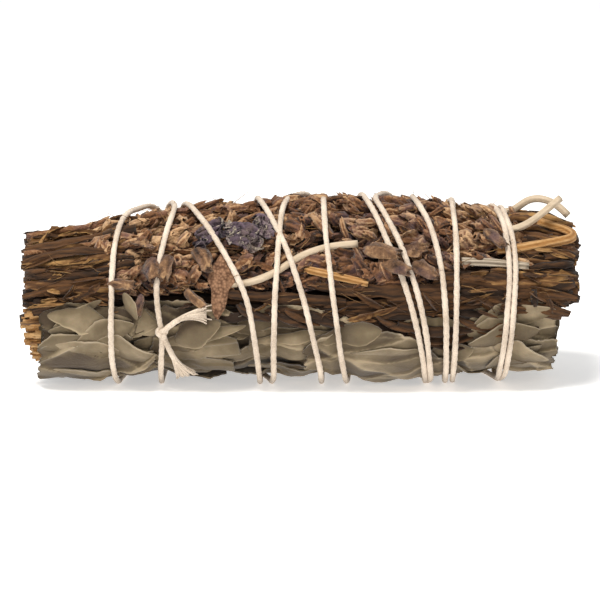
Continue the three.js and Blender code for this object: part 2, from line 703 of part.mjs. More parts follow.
place("binding_string", makeString(), "string");
const stringRoom = makeString(CLEAR / 2);
LAVENDER.forEach((stalk, i) => {
  const made = lavender(seeded(31 + i), stalk, stringRoom);
  place(stalk.name, largest(made.subtract(taken)), "lavender");
});
for (const leaf of LEAVES) {
  place(leaf[0], largest(sageLeaf(leaf).subtract(taken)), "sage");
}
place("sage_leaf_pack", largest(makeSagePack().subtract(taken)), "sage");
const leafRoom = joined(LEAVES.map((leaf) => sageLeaf(leaf, CLEAR)));
place("brown_stem_bunch", largest(makeStemBunch().subtract(taken).subtract(leafRoom)), "stems");

export default bunch;
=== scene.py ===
"""A bunch of dried lavender and white sage, bound with cotton string, lying on a pale floor.

Lengths in the shape formulas are millimetres, and Blender's are metres. A place in the bunch is
x along it, an angle round it in degrees (0 faces -Y, 90 is the top) and a depth under its skin.
"""
import math

import bpy
import numpy as np
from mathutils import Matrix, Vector, kdtree, noise


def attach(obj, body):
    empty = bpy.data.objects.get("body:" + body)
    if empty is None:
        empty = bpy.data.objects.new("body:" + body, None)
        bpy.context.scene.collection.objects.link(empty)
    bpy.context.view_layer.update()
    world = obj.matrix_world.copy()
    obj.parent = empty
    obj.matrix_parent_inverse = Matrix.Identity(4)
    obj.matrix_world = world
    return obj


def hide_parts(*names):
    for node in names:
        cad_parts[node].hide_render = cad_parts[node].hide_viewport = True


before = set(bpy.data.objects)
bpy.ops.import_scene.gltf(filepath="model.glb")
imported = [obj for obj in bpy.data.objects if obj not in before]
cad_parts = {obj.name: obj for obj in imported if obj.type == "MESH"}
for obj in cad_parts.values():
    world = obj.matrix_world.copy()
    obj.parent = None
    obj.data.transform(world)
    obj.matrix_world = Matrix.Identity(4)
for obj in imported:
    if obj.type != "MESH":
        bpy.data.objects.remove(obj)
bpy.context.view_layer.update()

bl_info = {
    "name": "Sage Bunch",
    "version": (1, 0, 0),
    "blender": (4, 5, 0),
    "location": "View3D > Sidebar > Sage Bunch",
    "description": "Builds a bunch of dried lavender and sage, bound with cotton string",
    "category": "Object",
}

MM = 0.001

# The shape of the bunch, as in the CAD model.
AXIS_Y = -0.7
THICKEST_X = 13
THICKEST_RADIUS = 18.2
PER_DEGREE = math.radians(THICKEST_RADIUS)  # millimetres round the skin for one degree
PATTERN_DEGREE = 0.32  # about the same, for patterns
LEFT_TAPER = 0.0007
RIGHT_TAPER = 0.0022
PRESSED = 0.8
RISE_FROM_X = 15
RISE = 0.0011
UNDERSIDE = 1.425
# The border between the sage leaves and the brown stems, as (x, height).
BORDER = [(-60, 18.2), (-15, 18.2), (0, 16.6), (13, 14.4), (25, 14.6), (40, 16.2), (60, 17.4)]
STEMS_FROM, STEMS_TO = -55.2, 55.2

# The string: where it crosses the front on its way down, at these angles, turn by turn.
STRING_GAP = 0.35
STRING_RADIUS = 0.575
STRING_SINK = 1.1
FRONT_ANGLES = [90, 45, 10, -35, -78]
TURNS = [
    [-22.7, -16.5, -10.3, -8.2, -7.9],
    [-8.7, -3.7, 0.4, 3.9, 4.3],
    [4.5, 4.9, 6.3, 8.2, 9.5],
    [12.3, 16.5, 21.1, 24.4, 25.0],
    [22.1, 26.7, 28.4, 28.8, 28.9],
    [30.1, 30.6, 30.7, 30.3, 30.1],
    [38.7, 41.1, 41.0, 39.7, 39.0],
    [39.9, 42.3, 42.2, 40.9, 40.2],
    [13.6, 18.9, 23.2, 25.6, 26.2],
    [-3.1, -4.1, -4.9, -5.2, -5.1],
    [-34.4, -36.8, -36.8, -37.1, -36.1],
]
KNOT = (-27.0, -14)
FROM_KNOT = [(-27.0, -14), (-27.3, -35), (-27.7, -78)]
TO_KNOT = [(-24.1, 90), (-26.9, 45), (-28.7, 10), (-27.0, -14)]
TAIL_ALONG = [(-27.0, -14), (-25.2, -8.8), (-23.5, -4.7), (-21.1, -3.2), (-17.2, -3.6)]
TAIL_DOWN = [(-27.0, -14), (-24.9, -33.5), (-22.0, -56)]
# The tails: the line, the length of it that is frayed, and how wide it spreads.
TAILS = [(TAIL_ALONG, 7.5, 1.15), (TAIL_DOWN, 8.5, 1.5)]
# The knot: its size along the bunch, round it and out of it, and how far out its middle lies.
KNOT_SIZE, KNOT_OUT = (0.3, 0.34, 0.35), 1.1
FIRST_OVER = 8  # from this turn on, the string comes back over the turns before it
OVER = 1.3
FINE_RADIUS = 0.55
STRING_STEP = 0.35  # from one point of it to the next
STRING_TWIST = 0.42  # radians of twist from one point of it to the next
STRING_SIDES = 12
PLIES = 3
PLY_DEPTH = 0.07
HAIRS = 900
TAIL_FIBRES = 84

# Large cups and scales that lie over the flower heads: x, angle, length, width, heading, papery.
LARGE_CUPS = [
    (12.5, 36, 7.0, 3.0, -12, False),
    (15.5, 29, 6.6, 3.2, -24, False),
    (19.5, 35, 5.6, 2.8, 8, True),
    (22.0, 27, 5.4, 2.6, -30, False),
    (-29.2, 36, 5.2, 3.2, -80, False),
    (-25.9, 37, 5.4, 3.0, -96, False),
    (-20.5, 41, 6.0, 2.8, -62, False),
    (-37.5, 20, 5.6, 2.4, -8, False),
    (-33.5, 50, 5.6, 2.4, -30, True),
    (36.5, 56, 5.6, 3.0, -50, False),
    (-31.0, 11, 4.6, 1.9, -100, False),
    (-22.5, 12, 5.0, 2.2, -40, False),
]

# Lavender stalks: the angles that they lie at, and where their flower heads begin.
LANES = [25, 57, 89, 121]
HEADS_FROM, HEADS_TO = -34, 41
HEAD_DEPTH = 4.6  # of its middle
HEAD_RADIUS = 5.2
HEAD_PRESSED, HEAD_SOFT = 4.5, 0.7  # how far out from its middle it is pressed in, and how softly
STALK_DEPTH = 1.8
STALK_RADIUS = 0.62
STALKS_END = 54.2
LEFT_HEADS_LOWER = 1.2
CUPS = 250  # tried on each head, of which the hidden ones are left out
PAPERY = 0.34  # the share of them that are scales
CUP_KINDS, SCALE_KINDS = 12, 8
BEFORE_BASE, PAST_TIP = 13, 3  # how far they reach past both ends of a head
ON_TOP, OVER_STRING = 74, 0.55  # from this angle on, this share of them lies over the string
SINK_STEP, MOST_SUNK = 0.3, 3.6
LEFT_TIP, RIGHT_TIP = 3, 4.4
ODD_HEADS = 1, -5  # how far every other head is shifted, at its base and at its tip

# Sage leaves.
LAYER = 1.0  # how much deeper each layer lies than the one over it
RUFFLE = 0.07  # how much the edges wave, as a share of the half width
LEAF_THICKNESS = 0.26
GRID, BACK_GRID = 0.42, 0.6  # between the points of a leaf in front, and of one behind
BACK_FROM = -80  # the angle where the back begins
# Node, the line down the middle as (x, angle), half width, the share of a whole leaf from its start
# to its end, layer, 0 outermost, and how deeply it is folded.
LEAVES = [
    ("sage_leaf_front_left", [(-51.5, -42), (-40, -42), (-28.6, -38)], 6.9, (0.3, 0.9), 0, 1.5),
    ("sage_leaf_front_left_fold", [(-50.5, -9), (-40, -9), (-30, -11)], 5.2, (0.3, 0.95), 1, 2.0),
    ("sage_leaf_front_crumpled", [(-38, -14), (-26, -14), (-8, -18)], 6.6, (0.1, 0.95), 2, 1.9),
    ("sage_leaf_by_knot", [(-28.4, -16), (-23, -17), (-16.8, -14)], 6, (0.28, 0.96), 1, 1.0),
    ("sage_leaf_front_low", [(-19, -62), (-8, -52), (9, -45)], 6.6, (0.1, 0.92), 2, 1.8),
    ("sage_leaf_front_middle", [(1, -38), (15, -42), (31.5, -62)], 8.2, (0.08, 0.93), 0, 0.7),
    ("sage_leaf_front_tucked", [(-12, -12), (2, -17), (14, -26)], 5, (0.1, 0.94), 1, 1.7),
    ("sage_leaf_right_low", [(24, -48), (38, -46), (50.2, -46)], 7.4, (0.06, 0.68), 1, 1.3),
    ("sage_leaf_right_high", [(30, -18), (40, -14), (50.4, -11)], 5.6, (0.08, 0.7), 2, 1.9),
    ("sage_leaf_under_left", [(-50, -88), (-34, -86), (-15, -84)], 9, (0.25, 0.92), 1, 1.2),
    ("sage_leaf_under_middle", [(-14, -98), (2, -90), (20, -86)], 9, (0.08, 0.93), 1, 1.2),
    ("sage_leaf_under_right", [(22, -96), (36, -92), (50, -90)], 8.4, (0.08, 0.7), 2, 1.2),
    ("sage_leaf_back_left", [(-51, -138), (-38, -132), (-22, -134)], 8.6, (0.28, 0.93), 0, 1.2),
    ("sage_leaf_back_left_high", [(-50, -169), (-36, -169), (-24, -168)], 5.2, (0.3, 0.93), 2, 1.6),
    ("sage_leaf_back_middle", [(-20, -128), (-4, -134), (14, -146)], 9, (0.08, 0.93), 2, 1.1),
    ("sage_leaf_back_middle_high", [(-14, -166), (0, -164), (16, -161)], 5, (0.08, 0.93), 1, 1.6),
    ("sage_leaf_back_right", [(16, -128), (32, -136), (50.5, -134)], 8.8, (0.08, 0.7), 0, 1.2),
    ("sage_leaf_back_right_high", [(26, -161), (38, -165), (50, -168)], 5.2, (0.08, 0.7), 2, 1.6),
]

# Folds seen on the front: x, angle, lean, reach, half width, where its peak is, and its raised side.
FOLDS = [
    (-43.5, -3.5, -5, 6, 3.0, 0.6, -1),
    (-46.5, -20, 4, 5, 2.6, 0.35, 1),
    (-38.5, -16, 8, 6, 3.4, 0.5, 1),
    (-34, -30, -9, 6.5, 3.0, 0.3, 1),
    (-33.2, 4, -9, 1.3, 1.1, 0.5, 1),
    (-20.0, -16, 7, 4.5, 3.0, 0.4, -1),
    (9, -20, 5, 7, 2.6, 0.7, -1),
    (40, -20, 6, 7, 2.8, 0.6, 1),
    (43.5, -36, -7, 5.5, 3.2, 0.4, 1),
]

# The inner leaves: where their edges show at both ends, in how many layers, and from where to where
# the linings reach that show in the gaps.
LEAF_ENDS = ((-1, -51.2), (1, 49.4))
END_LAYERS = 11
LININGS = [(-50, -17), (-22, 14), (9, 48.5)]
# Leaves that fill the gaps between the large ones: the line down the middle and the half width.
FILLERS = [
    ([(-34, -58), (-24, -56), (-13, -54)], 5.2),
    ([(-33, -32), (-24, -34), (-12, -30)], 5.0),
    ([(-10, -28), (-2, -30), (9, -32)], 4.5),
    ([(18, -26), (26, -24), (36, -26)], 5.0),
    ([(-34, -122), (-24, -124), (-12, -126)], 5.2),
]

# Single stems: node, finish, radius, share of it that is ridged, and places as (x, angle, depth).
SINGLE_STEMS = [
    ("pale_bent_stem", "pale", 0.72, 0.04,
     [(-17.3, 16, 1.8), (-10.3, 15, 1.8), (-5.3, 21, 1.8), (0.7, 34.5, 1.8), (5.7, 40, 1.8),
      (11.3, 41.6, 1.8)]),
    ("golden_broken_stem", "golden", 0.66, 0.2, [(0.9, 24, 1.8), (6.7, 19, 1.8), (13.3, 14, 1.7)]),
    ("grooved_grey_stem", "grey", 0.68, 0.3, [(31.6, 31, 1.9), (38, 32.6, 2.1), (44.8, 32.4, 1.9)]),
    ("loop_stem", "pale", 0.75, 0.06,
     [(39, 98, 2), (42.6, 98, 1.2), (45, 97, -2), (48, 95, -3.0), (51, 93, -2.6), (53.2, 90, -0.9)]),
    ("straight_end_stem", "pale", 0.7, 0.06, [(39, 62, 2), (43, 64, 1.2), (46.5, 70, -1), (51.4, 80, -5)]),
    ("folded_end_stem", "golden", 0.85, 0.2,
     [(38.6, 44, 2.3), (43, 47, 2.1), (49, 54, 0.9), (53.4, 62, 0.7), (54.6, 69, 0.8), (53.2, 75, 0.9),
      (47, 79, 1)]),
    ("golden_stub_1", "golden", 1.4, 0.25, [(-55, -8, 4.8), (-45, -8, 4.8)]),
    ("golden_stub_2", "golden", 1.5, 0.25, [(-54.4, -28, 4.6), (-45, -28, 4.6)]),
    ("golden_stub_3", "golden", 1.5, 0.25, [(-53.6, -50, 4.4), (-45, -50, 4.4)]),
]
STUB_STRANDS = 42
# The red-brown leaf: the line down its middle, its half width at shares of its length, and how far
# the flowers stay from its middle.
RED_LEAF = [(-14.6, 40), (-15.4, 18), (-16.2, -9)]
RED_LEAF_WIDTHS = [(0, 0.2), (0.12, 0.8), (0.42, 2.6), (0.5, 2.7), (0.62, 1.8), (0.85, 1.4), (1, 0.2)]
RED_LEAF_ROOM = 1.7
# Petals: node, the two ends of the line that they lie along, and half width.
PETALS = [
    ("flower_petal_1", (-19.6, 50), (-16, 57), 1.9),
    ("flower_petal_2", (-13.6, 54), (-8.6, 46), 2.2),
    ("flower_petal_3", (-8.4, 62), (-5.6, 53), 1.8),
]
PETAL_SCRAPS = 30

# Brown stems, laid in layers from the inside out: depth, degrees from one to the next, share kept.
STEM_LAYERS = [(3.8, 6.4, 1.0), (2.7, 4.6, 0.85), (1.7, 4.3, 0.7)]
SHREDS, SCRAPS, LOOSE_FIBRES = 600, 1100, 420
CORE_FROM, CORE_TO = -52.4, 53.0

# Dry strips that lie over the stems: the line down the middle as (x, angle), half width, tone.
STRIPS = [
    ([(-52.5, 2), (-45, 8), (-37, 14)], 1.7, 0.15),
    ([(-54.5, 16), (-47, 19), (-39, 17)], 1.1, 0.5),
    ([(-54.0, 27), (-46, 22), (-38, 24)], 1.2, 0.6),
    ([(-54.8, 46), (-46, 50), (-37, 47)], 1.3, 0.35),
    ([(-54.2, 63), (-47, 60), (-39, 66)], 1.2, 0.45),
    ([(-15, 9), (-4, 5), (9, 2)], 1.2, 0.2),
    ([(3, 13), (16, 9), (31, 12)], 1.4, 0.25),
    ([(5, -8), (20, -3), (35, 8)], 1.5, 0.2),
    ([(-7, -3), (4, -6), (16, -11)], 1.1, 0.15),
    ([(17, 3), (26, 6), (38, 3)], 1.2, 0.35),
    ([(26, 14), (36, 17), (47, 16)], 1.3, 0.3),
    ([(27, 21), (35, 21), (43, 22)], 1.2, 0.2),
    ([(30, 15), (43, 18), (54.6, 24)], 1.1, 0.85),
    ([(24, 21), (36, 18), (47, 19)], 0.9, 0.7),
    ([(40, 8), (47, 12), (54.4, 10)], 1.3, 0.5),
    ([(43, 45), (49, 50), (54.2, 48)], 1.1, 0.8),
    ([(44, 66), (50, 62), (54.0, 66)], 1.2, 0.7),
    ([(38, -2), (46, 0), (53, -4)], 1.5, 0.4),
]
# Narrow dark curls of dry leaf that reach over the border, in the same way.
CURLS = [
    ([(19, -13), (27, -19), (35, -15)], 1.3, 0.15),
    ([(21, -20), (28, -26), (34, -22)], 1.0, 0.3),
    ([(24, -25), (29, -31), (33, -30)], 0.8, 0.1),
    ([(31, -9), (36, -15), (44, -13)], 1.2, 0.35),
    ([(34, -16), (40, -20), (47, -17)], 0.9, 0.5),
    ([(13, -11), (17, -18), (21, -20)], 1.1, 0.1),
    ([(15, -7), (18, -14), (22, -17)], 0.8, 0.35),
    ([(-6, -4), (-2, -10), (2, -15)], 1.0, 0.2),
    ([(-3, -3), (0, -9), (4, -13)], 0.8, 0.4),
    ([(-12, 2), (-9, -6), (-4, -9)], 1.2, 0.15),
    ([(2, -6), (6, -12), (12, -12)], 1.1, 0.1),
]
# Stems that lie high at the top of the right end, as (x, angle, depth).
HIGH_STEMS = [
    [(40, 78, 1.2), (47, 81, 0.1), (54, 84, 0.0)],
    [(40, 88, 1.2), (46, 86, -0.1), (53, 88, -0.3)],
    [(41, 96, 1.2), (47, 94, 0.0), (53, 92, -0.2)],
    [(41, 70, 1.2), (47, 73, 0.5), (54, 74, 0.3)],
    [(42, 104, 1.2), (47, 102, 0.4), (53, 103, 0.3)],
]
# Short stems that stand across the others at the right end.
UPRIGHT_STEMS = [
    [(45.9, 15, 0.7), (46.0, 2, 0.8)],
    [(43.2, 9, 1.0), (42.0, 1, 0.9)],
    [(48.6, 8, 1.1), (49.4, -2, 0.9)],
]

# Colours that have no setting of their own, from dark to light.
CUP_TINT = "#655057"
LARGE_CUP, LARGE_CUP_TINT = ("#2c1e17", "#77583f", "#c09a70"), "#665259"
RED_LEAF_COLOURS = ("#5a3d2a", "#9c7659")
PETAL_SHADE, PETAL_LIGHT, PETAL_TINT = "#2a2027", "#b8ab98", "#7d6a57"
# Finishes of the single stems: name, colours, millimetres of a streak, roughness, relief.
STEM_FINISHES = {
    "pale": ("pale_dry_stem", ("#98866d", "#c0ad93", "#d9c7b0"), 0.9, 0.7, 0.3),
    "grey": ("grey_dry_stem", ("#7a6d5b", "#a39581", "#c6b8a3"), 0.9, 0.7, 0.4),
    "golden": ("split_golden_stem", ("#6e4824", "#ab7b45", "#d2ab78"), 0.5),
}

# The stage.
FLOOR_COLOUR = "#fbfbfa"
FLOOR_REACH = 12  # metres
FLOOR_GLOW = 0.44
WORLD_LIGHT = 0.36
LIGHTS = [  # name, place and size in metres, watts
    ("top_light", (-0.12, -0.22, 0.55), 0.2, 3.9),
    ("front_light", (0.1, -0.7, 0.4), 0.4, 0.5),
]
LIGHT_COLOUR = (1.0, 0.97, 0.93)
AIM_HEIGHT = 18.5
AIM_SHIFT = 13 / 600  # of the view's width, because the bunch lies above the middle of the photo
SENSOR_WIDTH = 36


def linear(hex_colour):
    """An sRGB hex colour as linear RGBA."""
    channels = [int(hex_colour[i:i + 2], 16) / 255 for i in (1, 3, 5)]
    return [c / 12.92 if c <= 0.04045 else ((c + 0.055) / 1.055) ** 2.4 for c in channels] + [1.0]


# Shapes.

def smooth(low, high, value):
    """From 0 at low to 1 at high, with soft ends."""
    share = np.clip((value - low) / (high - low), 0, 1)
    return share * share * (3 - 2 * share)


def girth(x):
    """The radius of the bunch."""
    taper = np.where(x < THICKEST_X, LEFT_TAPER, RIGHT_TAPER)
    return THICKEST_RADIUS - taper * (x - THICKEST_X) ** 2


def middle_height(x):
    """The height of the middle of the bunch, which lifts at the right end."""
    return UNDERSIDE - PRESSED + girth(x) + RISE * np.maximum(0, x - RISE_FROM_X) ** 2


def in_bunch(x, angle, depth):
    """Places in the bunch as points, in millimetres."""
    x, angle, depth = np.broadcast_arrays(np.asarray(x, float), angle, depth)
    radius = girth(x) - depth
    turn = np.radians(angle)
    z = np.maximum(middle_height(x) + radius * np.sin(turn), UNDERSIDE + depth)
    return np.stack([x, AXIS_Y - radius * np.cos(turn), z], axis=-1)


def outward(points):
    """The direction straight out of the bunch at each point."""
    x = points[:, 0]
    away = points - np.stack([x, np.full(len(x), AXIS_Y), middle_height(x)], -1)
    return away / np.linalg.norm(away, axis=1)[:, None]


def border_height(x):
    """The height of the border between leaves and stems."""
    return np.interp(x, *np.transpose(BORDER))


def border_angle(x):
    """The angle that the border lies at on the front."""
    return np.degrees(np.arcsin((border_height(x) - middle_height(x)) / girth(x)))


def brown_side(angle):
    """1 on the brown side and 0 round the leaves."""
    turn = (np.asarray(angle, float) + 90) % 360 - 90
    return smooth(-14, 6, turn) * (1 - smooth(174, 194, turn))


def along(places, step):
    """Rows of numbers, evenly spaced about step millimetres apart, through rows of places."""
    places = np.array(places, float)
    scaled = places.copy()
    scaled[:, 1] *= PER_DEGREE
    reach = np.concatenate([[0], np.cumsum(np.linalg.norm(np.diff(scaled, axis=0), axis=1))])
    at = np.linspace(0, reach[-1], max(2, round(reach[-1] / step) + 1))
    return np.stack([np.interp(at, reach, column) for column in places.T], -1)


def rounded(rows, reach):
    """Rows of numbers with their corners rounded off over reach rows to each side."""
    for _ in range(2):
        padded = np.concatenate([np.repeat(rows[:1], reach, 0), rows, np.repeat(rows[-1:], reach, 0)])
        sums = np.cumsum(np.concatenate([np.zeros((1, rows.shape[1])), padded]), axis=0)
        width = 2 * reach + 1
        middle = (sums[width:] - sums[:-width]) / width
        middle[0], middle[-1] = rows[0], rows[-1]
        rows = middle
    return rows


class Skin:
    """Gathers the vertices, faces and tone of one piece. Tone is how light or dark each part is coloured:
    partly its own colour, and in many parts painted shade in hollows and painted highlights on raised parts.
    """

    def __init__(self):
        self.points, self.faces, self.tones, self.count = [], [], [], 0

    def add(self, points, faces, tone):
        """Adds a part: its points in millimetres, groups of faces, and one tone or one a point."""
        self.points.append(points)
        self.faces.extend((np.asarray(f) + self.count).tolist() for f in faces)
        self.tones.append(np.broadcast_to(np.asarray(tone, float), len(points)))
        self.count += len(points)

    def piece(self, name, material, nodes=()):
        """Makes the piece, in metres, in place of the CAD nodes."""
        mesh = bpy.data.meshes.new(name)
        faces = [face for group in self.faces for face in group]
        points = np.concatenate(self.points) * MM
        points[:, 2] = np.maximum(points[:, 2], 0)  # what reaches the floor is pressed flat on it
        mesh.from_pydata(points.tolist(), [], faces)
        mesh.polygons.foreach_set("use_smooth", [True] * len(mesh.polygons))
        tone = mesh.attributes.new("tone", "FLOAT", "POINT")
        tone.data.foreach_set("value", np.concatenate(self.tones).astype(np.float32))
        mesh.materials.append(material)
        made = bpy.data.objects.new(name, mesh)
        bpy.context.scene.collection.objects.link(made)
        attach(made, "root")
        if nodes:
            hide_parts(*nodes)


def sheet_faces(rows, columns, closed=False, start=0):
    """Four-sided faces between rows of points. closed joins the last column to the first."""
    i = np.arange(rows - 1)[:, None] * columns
    j = np.arange(columns if closed else columns - 1)[None, :]
    k = (j + 1) % columns
    return np.stack([i + j, i + columns + j, i + columns + k, i + k], -1).reshape(-1, 4) + start


def tube(points, radii, sides, lift=1.0, flat=1.0, roll=0.0, cup=0.0):
    """A closed tube through points. lift is how far out each point of its surface lies, flat
    presses it, roll turns it about itself, and cup sinks the middle of its ends."""
    points = np.asarray(points, float)
    radii = np.broadcast_to(np.asarray(radii, float), len(points))
    lift = np.broadcast_to(lift, (len(points), sides))
    run = np.gradient(points, axis=0)
    run /= np.linalg.norm(run, axis=1)[:, None]
    up = outward(points)
    up -= run * np.sum(up * run, axis=1)[:, None]
    up /= np.linalg.norm(up, axis=1)[:, None]
    side = np.cross(run, up)
    roll = np.broadcast_to(roll, len(points))[:, None]
    up, side = up * np.cos(roll) + side * np.sin(roll), side * np.cos(roll) - up * np.sin(roll)
    turn = 2 * np.pi * np.arange(sides) / sides
    reach = (radii[:, None] * lift)[..., None]
    rings = points[:, None] + reach * (
        flat * np.cos(turn)[None, :, None] * up[:, None] + np.sin(turn)[None, :, None] * side[:, None])
    ends = points[[0, -1]] + np.stack([run[0], -run[-1]]) * cup
    made = np.concatenate([rings.reshape(-1, 3), ends])
    first, last = len(made) - 2, len(made) - 1
    final = (len(points) - 1) * sides
    caps = []
    for j in range(sides):
        k = (j + 1) % sides
        caps.append([first, k, j])
        caps.append([last, final + j, final + k])
    body = sheet_faces(len(points), sides, closed=True)
    return made, [body[:, ::-1], caps]


def plied(count, sides, plies, depth, twist):
    """The surface of a cord twisted from plies, for tube's lift. twist is radians a point."""
    turn = 2 * np.pi * np.arange(sides) / sides
    return 1 + depth * np.cos(plies * (turn[None, :] + twist * np.arange(count)[:, None]))


def bark(rng, count, sides, depth, run=6):
    """A rough surface for tube's lift: ridges that run on for run points, and fine roughness."""
    knots = rng.choice([-1.0, -0.35, 0.3, 0.8], (count // run + 2, sides), p=[0.3, 0.2, 0.25, 0.25])
    at = np.arange(count) / run
    low = at.astype(int)
    share = (at - low)[:, None]
    ridges = knots[low] * (1 - share) + knots[low + 1] * share
    return 1 + depth * (ridges + 0.35 * rng.uniform(-1, 1, (count, sides)))


def round_edge(rows, columns):
    """The steps round the edge of a sheet of points, as pairs."""
    ring = [*range(columns - 1), *(i * columns + columns - 1 for i in range(rows - 1)),
            *((rows - 1) * columns + j for j in range(columns - 1, 0, -1)),
            *(i * columns for i in range(rows - 1, 0, -1))]
    return zip(ring, ring[1:] + ring[:1])


def two_sided(top, bottom, rows, columns):
    """A thin sheet from the points of its two faces, closed round its edge."""
    total = rows * columns
    faces = sheet_faces(rows, columns)
    rim = [[a + total, b + total, b, a] for a, b in round_edge(rows, columns)]
    both = np.concatenate([top.reshape(-1, 3), bottom.reshape(-1, 3)])
    return both, [faces, (faces + total)[:, ::-1], rim]


# The string.

def wound(places, over=0.0):
    """Points of the string through places (x, angle). over is how much further out it lies behind the
    bunch, where it comes back over other turns."""
    x, angle = places[:, 0], places[:, 1]
    behind = smooth(95, 125, -angle) * smooth(-262, -235, angle)
    depth = STRING_SINK * brown_side(angle) - STRING_GAP - STRING_RADIUS - over * behind
    return in_bunch(x, angle, depth)


def string_route():
    """Points of the whole string, from the knot round the bunch and back to the knot."""
    fronts = [FROM_KNOT, *(list(zip(xs, FRONT_ANGLES)) for xs in TURNS), TO_KNOT]
    points = []
    for i, front in enumerate(fronts):
        places = list(front)
        if i + 1 < len(fronts):
            after = fronts[i + 1]
            places += [(after[0][0], after[0][1] - 360), (after[1][0], after[1][1] - 360)]
        if i > 0:
            before = fronts[i - 1]
            places = [(before[-1][0], before[-1][1] + 360)] + places
        rows = rounded(along(places, STRING_STEP), 16)
        angle = rows[:, 1]
        low = front[0][1] if i else 999
        high = fronts[i + 1][0][1] - 360 if i + 1 < len(fronts) else -999
        rows = rows[(angle <= low) & (angle > high)]
        points.append(wound(rows, OVER if i >= FIRST_OVER else 0.0))
    return np.concatenate(points)


STRING = string_route()


def nearest(points):
    """A tree that finds the nearest of a row of points."""
    tree = kdtree.KDTree(len(points))
    for i, point in enumerate(points):
        tree.insert(point, i)
    tree.balance()
    return tree


TAIL_POINTS = np.concatenate([wound(rounded(along(line, STRING_STEP), 6)) for line, _, _ in TAILS])
STRING_TREE = nearest(np.concatenate([STRING[::2], TAIL_POINTS]))


def from_string(points):
    """How far each point is from the middle of the string, in millimetres."""
    return np.array([STRING_TREE.find(point)[2] for point in points])


def lying_on_top():
    """Points of what lies on the flower heads, with how far from them the flowers stay."""
    points = [STRING[::2], TAIL_POINTS]
    room = [np.full(sum(map(len, points)), STRING_RADIUS)]
    for _, _, radius, _, places in SINGLE_STEMS:
        rows = rounded(along(places, 0.6), 3)
        points.append(in_bunch(rows[:, 0], rows[:, 1], np.minimum(rows[:, 2], 0.4)))
        room.append(np.full(len(rows), radius))
    lines = [(RED_LEAF_ROOM, RED_LEAF)] + [(half * 0.8, (start, stop)) for _, start, stop, half in PETALS]
    for half, line in lines:
        rows = along(line, 0.6)
        points.append(in_bunch(rows[:, 0], rows[:, 1], 0.6))
        room.append(np.full(len(rows), half))
    return nearest(np.concatenate(points)), np.concatenate(room)


TOP_TREE, TOP_ROOM = lying_on_top()


def room_above(points):
    """The room between each point and what lies on the flower heads."""
    found = [TOP_TREE.find(point) for point in points]
    return np.array([distance - TOP_ROOM[i] for _, i, distance in found])


def fibre(skin, rng, start, direction, length, radius, curl=0.35, steps=5):
    """A thin loose fibre that starts at a point and curls."""
    points = [np.array(start, float)]
    heading = np.array(direction, float)
    for _ in range(steps):
        heading = heading + curl * rng.normal(size=3)
        heading /= np.linalg.norm(heading)
        points.append(points[-1] + heading * length / steps)
    made, faces = tube(points, np.linspace(radius, radius * 0.4, steps + 1), 3)
    skin.add(made, faces, rng.uniform(0.4, 0.9))


def frayed(skin, rng, places, length, spread):
    """A tail of the string that opens into its fibres over its last length."""
    rows = rounded(along(places, STRING_STEP), 6)
    points = wound(rows)
    cut = len(points) - round(length / STRING_STEP)
    surface = plied(cut + 2, STRING_SIDES, PLIES, PLY_DEPTH, STRING_TWIST)
    skin.add(*tube(points[:cut + 2], FINE_RADIUS, STRING_SIDES, surface), 0.55)
    out, run = outward(points), np.gradient(points, axis=0)
    run /= np.linalg.norm(run, axis=1)[:, None]
    side = np.cross(run, out)
    share = np.linspace(0, 1, len(points) - cut)[:, None]
    for _ in range(TAIL_FIBRES):
        across, up = rng.uniform(-1.7, 1.7) * spread, rng.uniform(-0.2, 0.6)
        bend = rng.normal() * 0.4
        swing = across * share ** 1.2 + bend * share ** 3
        opened = points[cut:] + side[cut:] * swing + out[cut:] * up * share
        begin = side[cut:] * rng.uniform(-0.35, 0.35) + out[cut:] * rng.uniform(-0.3, 0.3)
        radius = rng.uniform(0.08, 0.17)
        kept = round(len(opened) * rng.uniform(0.72, 1))
        skin.add(*tube((opened + begin * (1 - share))[:kept:2], radius, 5), rng.uniform(0.4, 1))


def make_string(material):
    """The whole string, with its knot, its two frayed tails and its loose hairs."""
    rng = np.random.default_rng(5)
    skin = Skin()
    count = np.arange(len(STRING))
    drift = 0.13 * np.stack([noise_along(count * 0.05, k) for k in (1, 2, 3)], -1)
    radii = FINE_RADIUS * (1 + 0.12 * noise_along(count * 0.09, 7))
    surface = plied(len(STRING), STRING_SIDES, PLIES, PLY_DEPTH, STRING_TWIST)
    # Painted shade: the tone is darker in the grooves between the plies and lighter on their crowns.
    groove = np.append((surface * 3 - 2.4).ravel(), [0.5, 0.5])
    skin.add(*tube(STRING + drift, radii, STRING_SIDES, surface), groove)
    turn = np.linspace(0, 2 * np.pi, 60, endpoint=False)
    loop = np.stack([np.sin(turn) + 2 * np.sin(2 * turn), np.cos(turn) - 2 * np.cos(2 * turn),
                     -np.sin(3 * turn)]) * np.array(KNOT_SIZE)[:, None]
    knot = in_bunch(KNOT[0] + loop[0], KNOT[1] + loop[1] / PER_DEGREE, -KNOT_OUT - loop[2])
    knot = np.concatenate([knot, knot[:3]])
    surface = plied(len(knot), STRING_SIDES, PLIES, 0.1, 0.2)
    skin.add(*tube(knot, FINE_RADIUS * 0.9, STRING_SIDES, surface), 0.6)
    for tail in TAILS:
        frayed(skin, rng, *tail)
    out = outward(STRING)
    for at in rng.integers(0, len(STRING), HAIRS):
        heading = out[at] + rng.normal(size=3) * 0.8
        fibre(skin, rng, STRING[at] + out[at] * 0.3, heading, rng.uniform(0.4, 1.1), 0.02)
    skin.piece("cotton_string", material, ["binding_string"])


def noise_along(values, seed):
    """Smooth noise from -1 to 1 along a row of values."""
    return np.array([noise.noise(Vector((v, seed * 7.3, 0.5))) for v in values])


def field(x, y, scale, seed):
    """Smooth noise over a surface. scale is the size of its lumps in millimetres."""
    places = zip(x.ravel() / scale, y.ravel() / scale)
    return np.array([noise.noise(Vector((*place, seed * 3.7))) for place in places]).reshape(x.shape)


